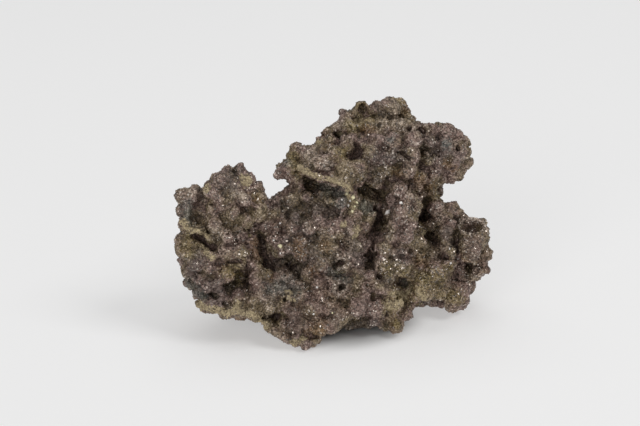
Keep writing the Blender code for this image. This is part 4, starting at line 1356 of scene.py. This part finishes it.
def gem_material(name, code):
    # Glossy crystals, clear to milky or pale yellow, which show as small light points at this size.
    made, tree, shader, place = blank_material(name)
    cloud = add(tree, "ShaderNodeTexNoise", noise(place, CLOUD_PATCH)).outputs["Fac"]
    milky = add(tree, "ShaderNodeMapRange", {
        "Value": cloud, **span("From", CLOUD_RANGE), "To Min": CLOUD_SHADE,
    }).outputs[0]
    shade = add(tree, "ShaderNodeVectorMath", {0: colour(code)[:3], "Scale": milky}, operation="SCALE")
    tree.links.new(shade.outputs[0], shader.inputs["Base Color"])
    shader.inputs["Roughness"].default_value = 0.25
    shader.inputs["IOR"].default_value = 1.55
    return made


# Camera, light and floor


def put(name, data, place, ahead):
    """Adds a camera or a light at this place that looks this way."""
    made = bpy.data.objects.new(name, data)
    bpy.context.scene.collection.objects.link(made)
    made.location = place
    made.rotation_mode = "QUATERNION"
    made.rotation_quaternion = ahead.to_track_quat("-Z", "Y")
    return made


def make_view():
    up = Vector((0, math.sin(LOOK_DOWN), math.cos(LOOK_DOWN)))
    ahead = Vector((0, math.cos(LOOK_DOWN), -math.sin(LOOK_DOWN)))
    eye = Vector((1, 0, 0)) * EYE_ACROSS + up * EYE_UP + ahead * (EYE_PLANE - EYE_DISTANCE) - Vector(ORIGIN)
    camera = bpy.data.cameras.new("camera")
    camera.lens = LENS
    camera.sensor_width = SENSOR
    bpy.context.scene.camera = put("camera", camera, eye * MM, ahead)


def make_light(name, place, aim, size, power):
    lamp = bpy.data.lights.new(name, "AREA")
    lamp.shape = "SQUARE"
    lamp.size = size
    lamp.energy = power
    put(name, lamp, place, Vector(aim) - Vector(place))


def make_studio():
    world = bpy.data.worlds.new("studio")
    bpy.context.scene.world = world
    world.use_nodes = True
    background = world.node_tree.nodes["Background"]
    background.inputs["Color"].default_value = (1, 1, 1, 1)
    background.inputs["Strength"].default_value = ROOM_LIGHT
    for light in LIGHTS:
        make_light(*light)
    bpy.ops.object.select_all(action="DESELECT")
    bpy.ops.mesh.primitive_plane_add(size=FLOOR_SIZE, location=(0, 0, 0))
    floor = bpy.context.active_object
    floor.name = "floor"
    floor.data.materials.append(paper_material())
    bpy.context.scene.view_settings.view_transform = "Standard"


def paper_material():
    # Matt white paper that glows a little, painted light as from a light under it: even and nearly white
    # away from the feet, with pale soft shadows, and a painted shadow under the feet.
    made, tree, shader, place = blank_material("studio_paper_matt")
    shader.inputs["Base Color"].default_value = colour(FLOOR_COLOUR)
    shader.inputs["Roughness"].default_value = 0.9
    shader.inputs["Specular IOR Level"].default_value = 0.1
    shader.inputs["Emission Color"].default_value = (1, 1, 1, 1)
    # Painted shadow: the glow fades out within an oval under the feet.
    (x, y), (wide, deep) = FLOOR_PAINTED_SHADOW
    aside = add(tree, "ShaderNodeVectorMath", {0: place, 1: (-x, -y, 0)}, operation="ADD").outputs[0]
    aside = add(tree, "ShaderNodeVectorMath", {
        0: aside, 1: (1 / wide, 1 / deep, 0),
    }, operation="MULTIPLY").outputs[0]
    away = add(tree, "ShaderNodeVectorMath", {0: aside}, operation="LENGTH").outputs["Value"]
    glow = add(tree, "ShaderNodeMapRange", {
        "Value": away, **span("From", FLOOR_FADE), "To Max": FLOOR_GLOW,
    }, interpolation_type="SMOOTHSTEP").outputs[0]
    tree.links.new(glow, shader.inputs["Emission Strength"])
    return made


def dress(piece, finish):
    """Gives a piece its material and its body."""
    piece.data.materials.clear()
    piece.data.materials.append(finish)
    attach(piece, "root")


def room_for_crystals(points, clay, free, tree):
    """How freely crystals grow at each point: little under clay, in hollows and on the plain spots."""
    (hides, slope, start), (steep, rise, least), (clears, fade) = CLAY_HIDES, HOLLOW_HIDES, PLAIN_HIDES
    room = (1 - hides * np.clip(clay * slope - start, 0, 1)) * np.clip(free * steep - rise, least, 1)
    room *= 1 - clears * np.clip(strength(points, plain_spots(tree)) * fade, 0, 1)
    return room


def make_gems(kind, crust, tree):
    """The larger crystals of one kind, where they are seen, and tiny ones strewn all over."""
    name, code, seen = GEMS[kind]
    places, radii = [], []
    for across, up, half in seen:
        place, look = hit_at(tree, across, up)
        places.append(np.array(place - look * half * GEM_PROUD * MM))
        radii.append(half * rng.uniform(*CRYSTAL_STRETCH, 3) * MM)
    few = places_on(crust.data, TINY_GEMS)[0]
    few = few[few[:, 2] > GEM_FLOOR * MM]
    places += list(few)
    radii += [rng.uniform(*TINY_WIDTHS, 3) * MM for _ in few]
    shape = make_crystal("bipyramid")
    gems = object_from(copies(kind + "_crystals", shape.data, np.array(places), np.array(radii)))
    bpy.data.objects.remove(shape)
    keep_in_box(gems.data)
    dress(gems, gem_material(name, code))


def main():
    crust = make_crust()
    tree = tree_of(crust.data)
    spots = finish_spots(crust.data, tree)
    free = openness(crust.data)
    # The openness that the materials read darkens hollows as painted shade.
    mark(crust.data, "openness", free)
    points = corners_of(crust.data)
    mark_finishes(crust.data, points, spots)
    dress(crust, crust_material())
    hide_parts("specimen")

    clay = strength(points, spots["clay"])
    room = room_for_crystals(points, clay, free, tree)
    druse = druse_material()
    for row in DRUSES:
        dress(strew(*row, crust, room, free, spots), druse)
    slope, start = CLAY_HOLDS
    dress(strew(*GRAINS, crust, np.clip(clay * slope - start, 0, 1), free, spots), clay_material())
    for kind in GEMS:
        make_gems(kind, crust, tree)
    make_view()
    make_studio()


main()
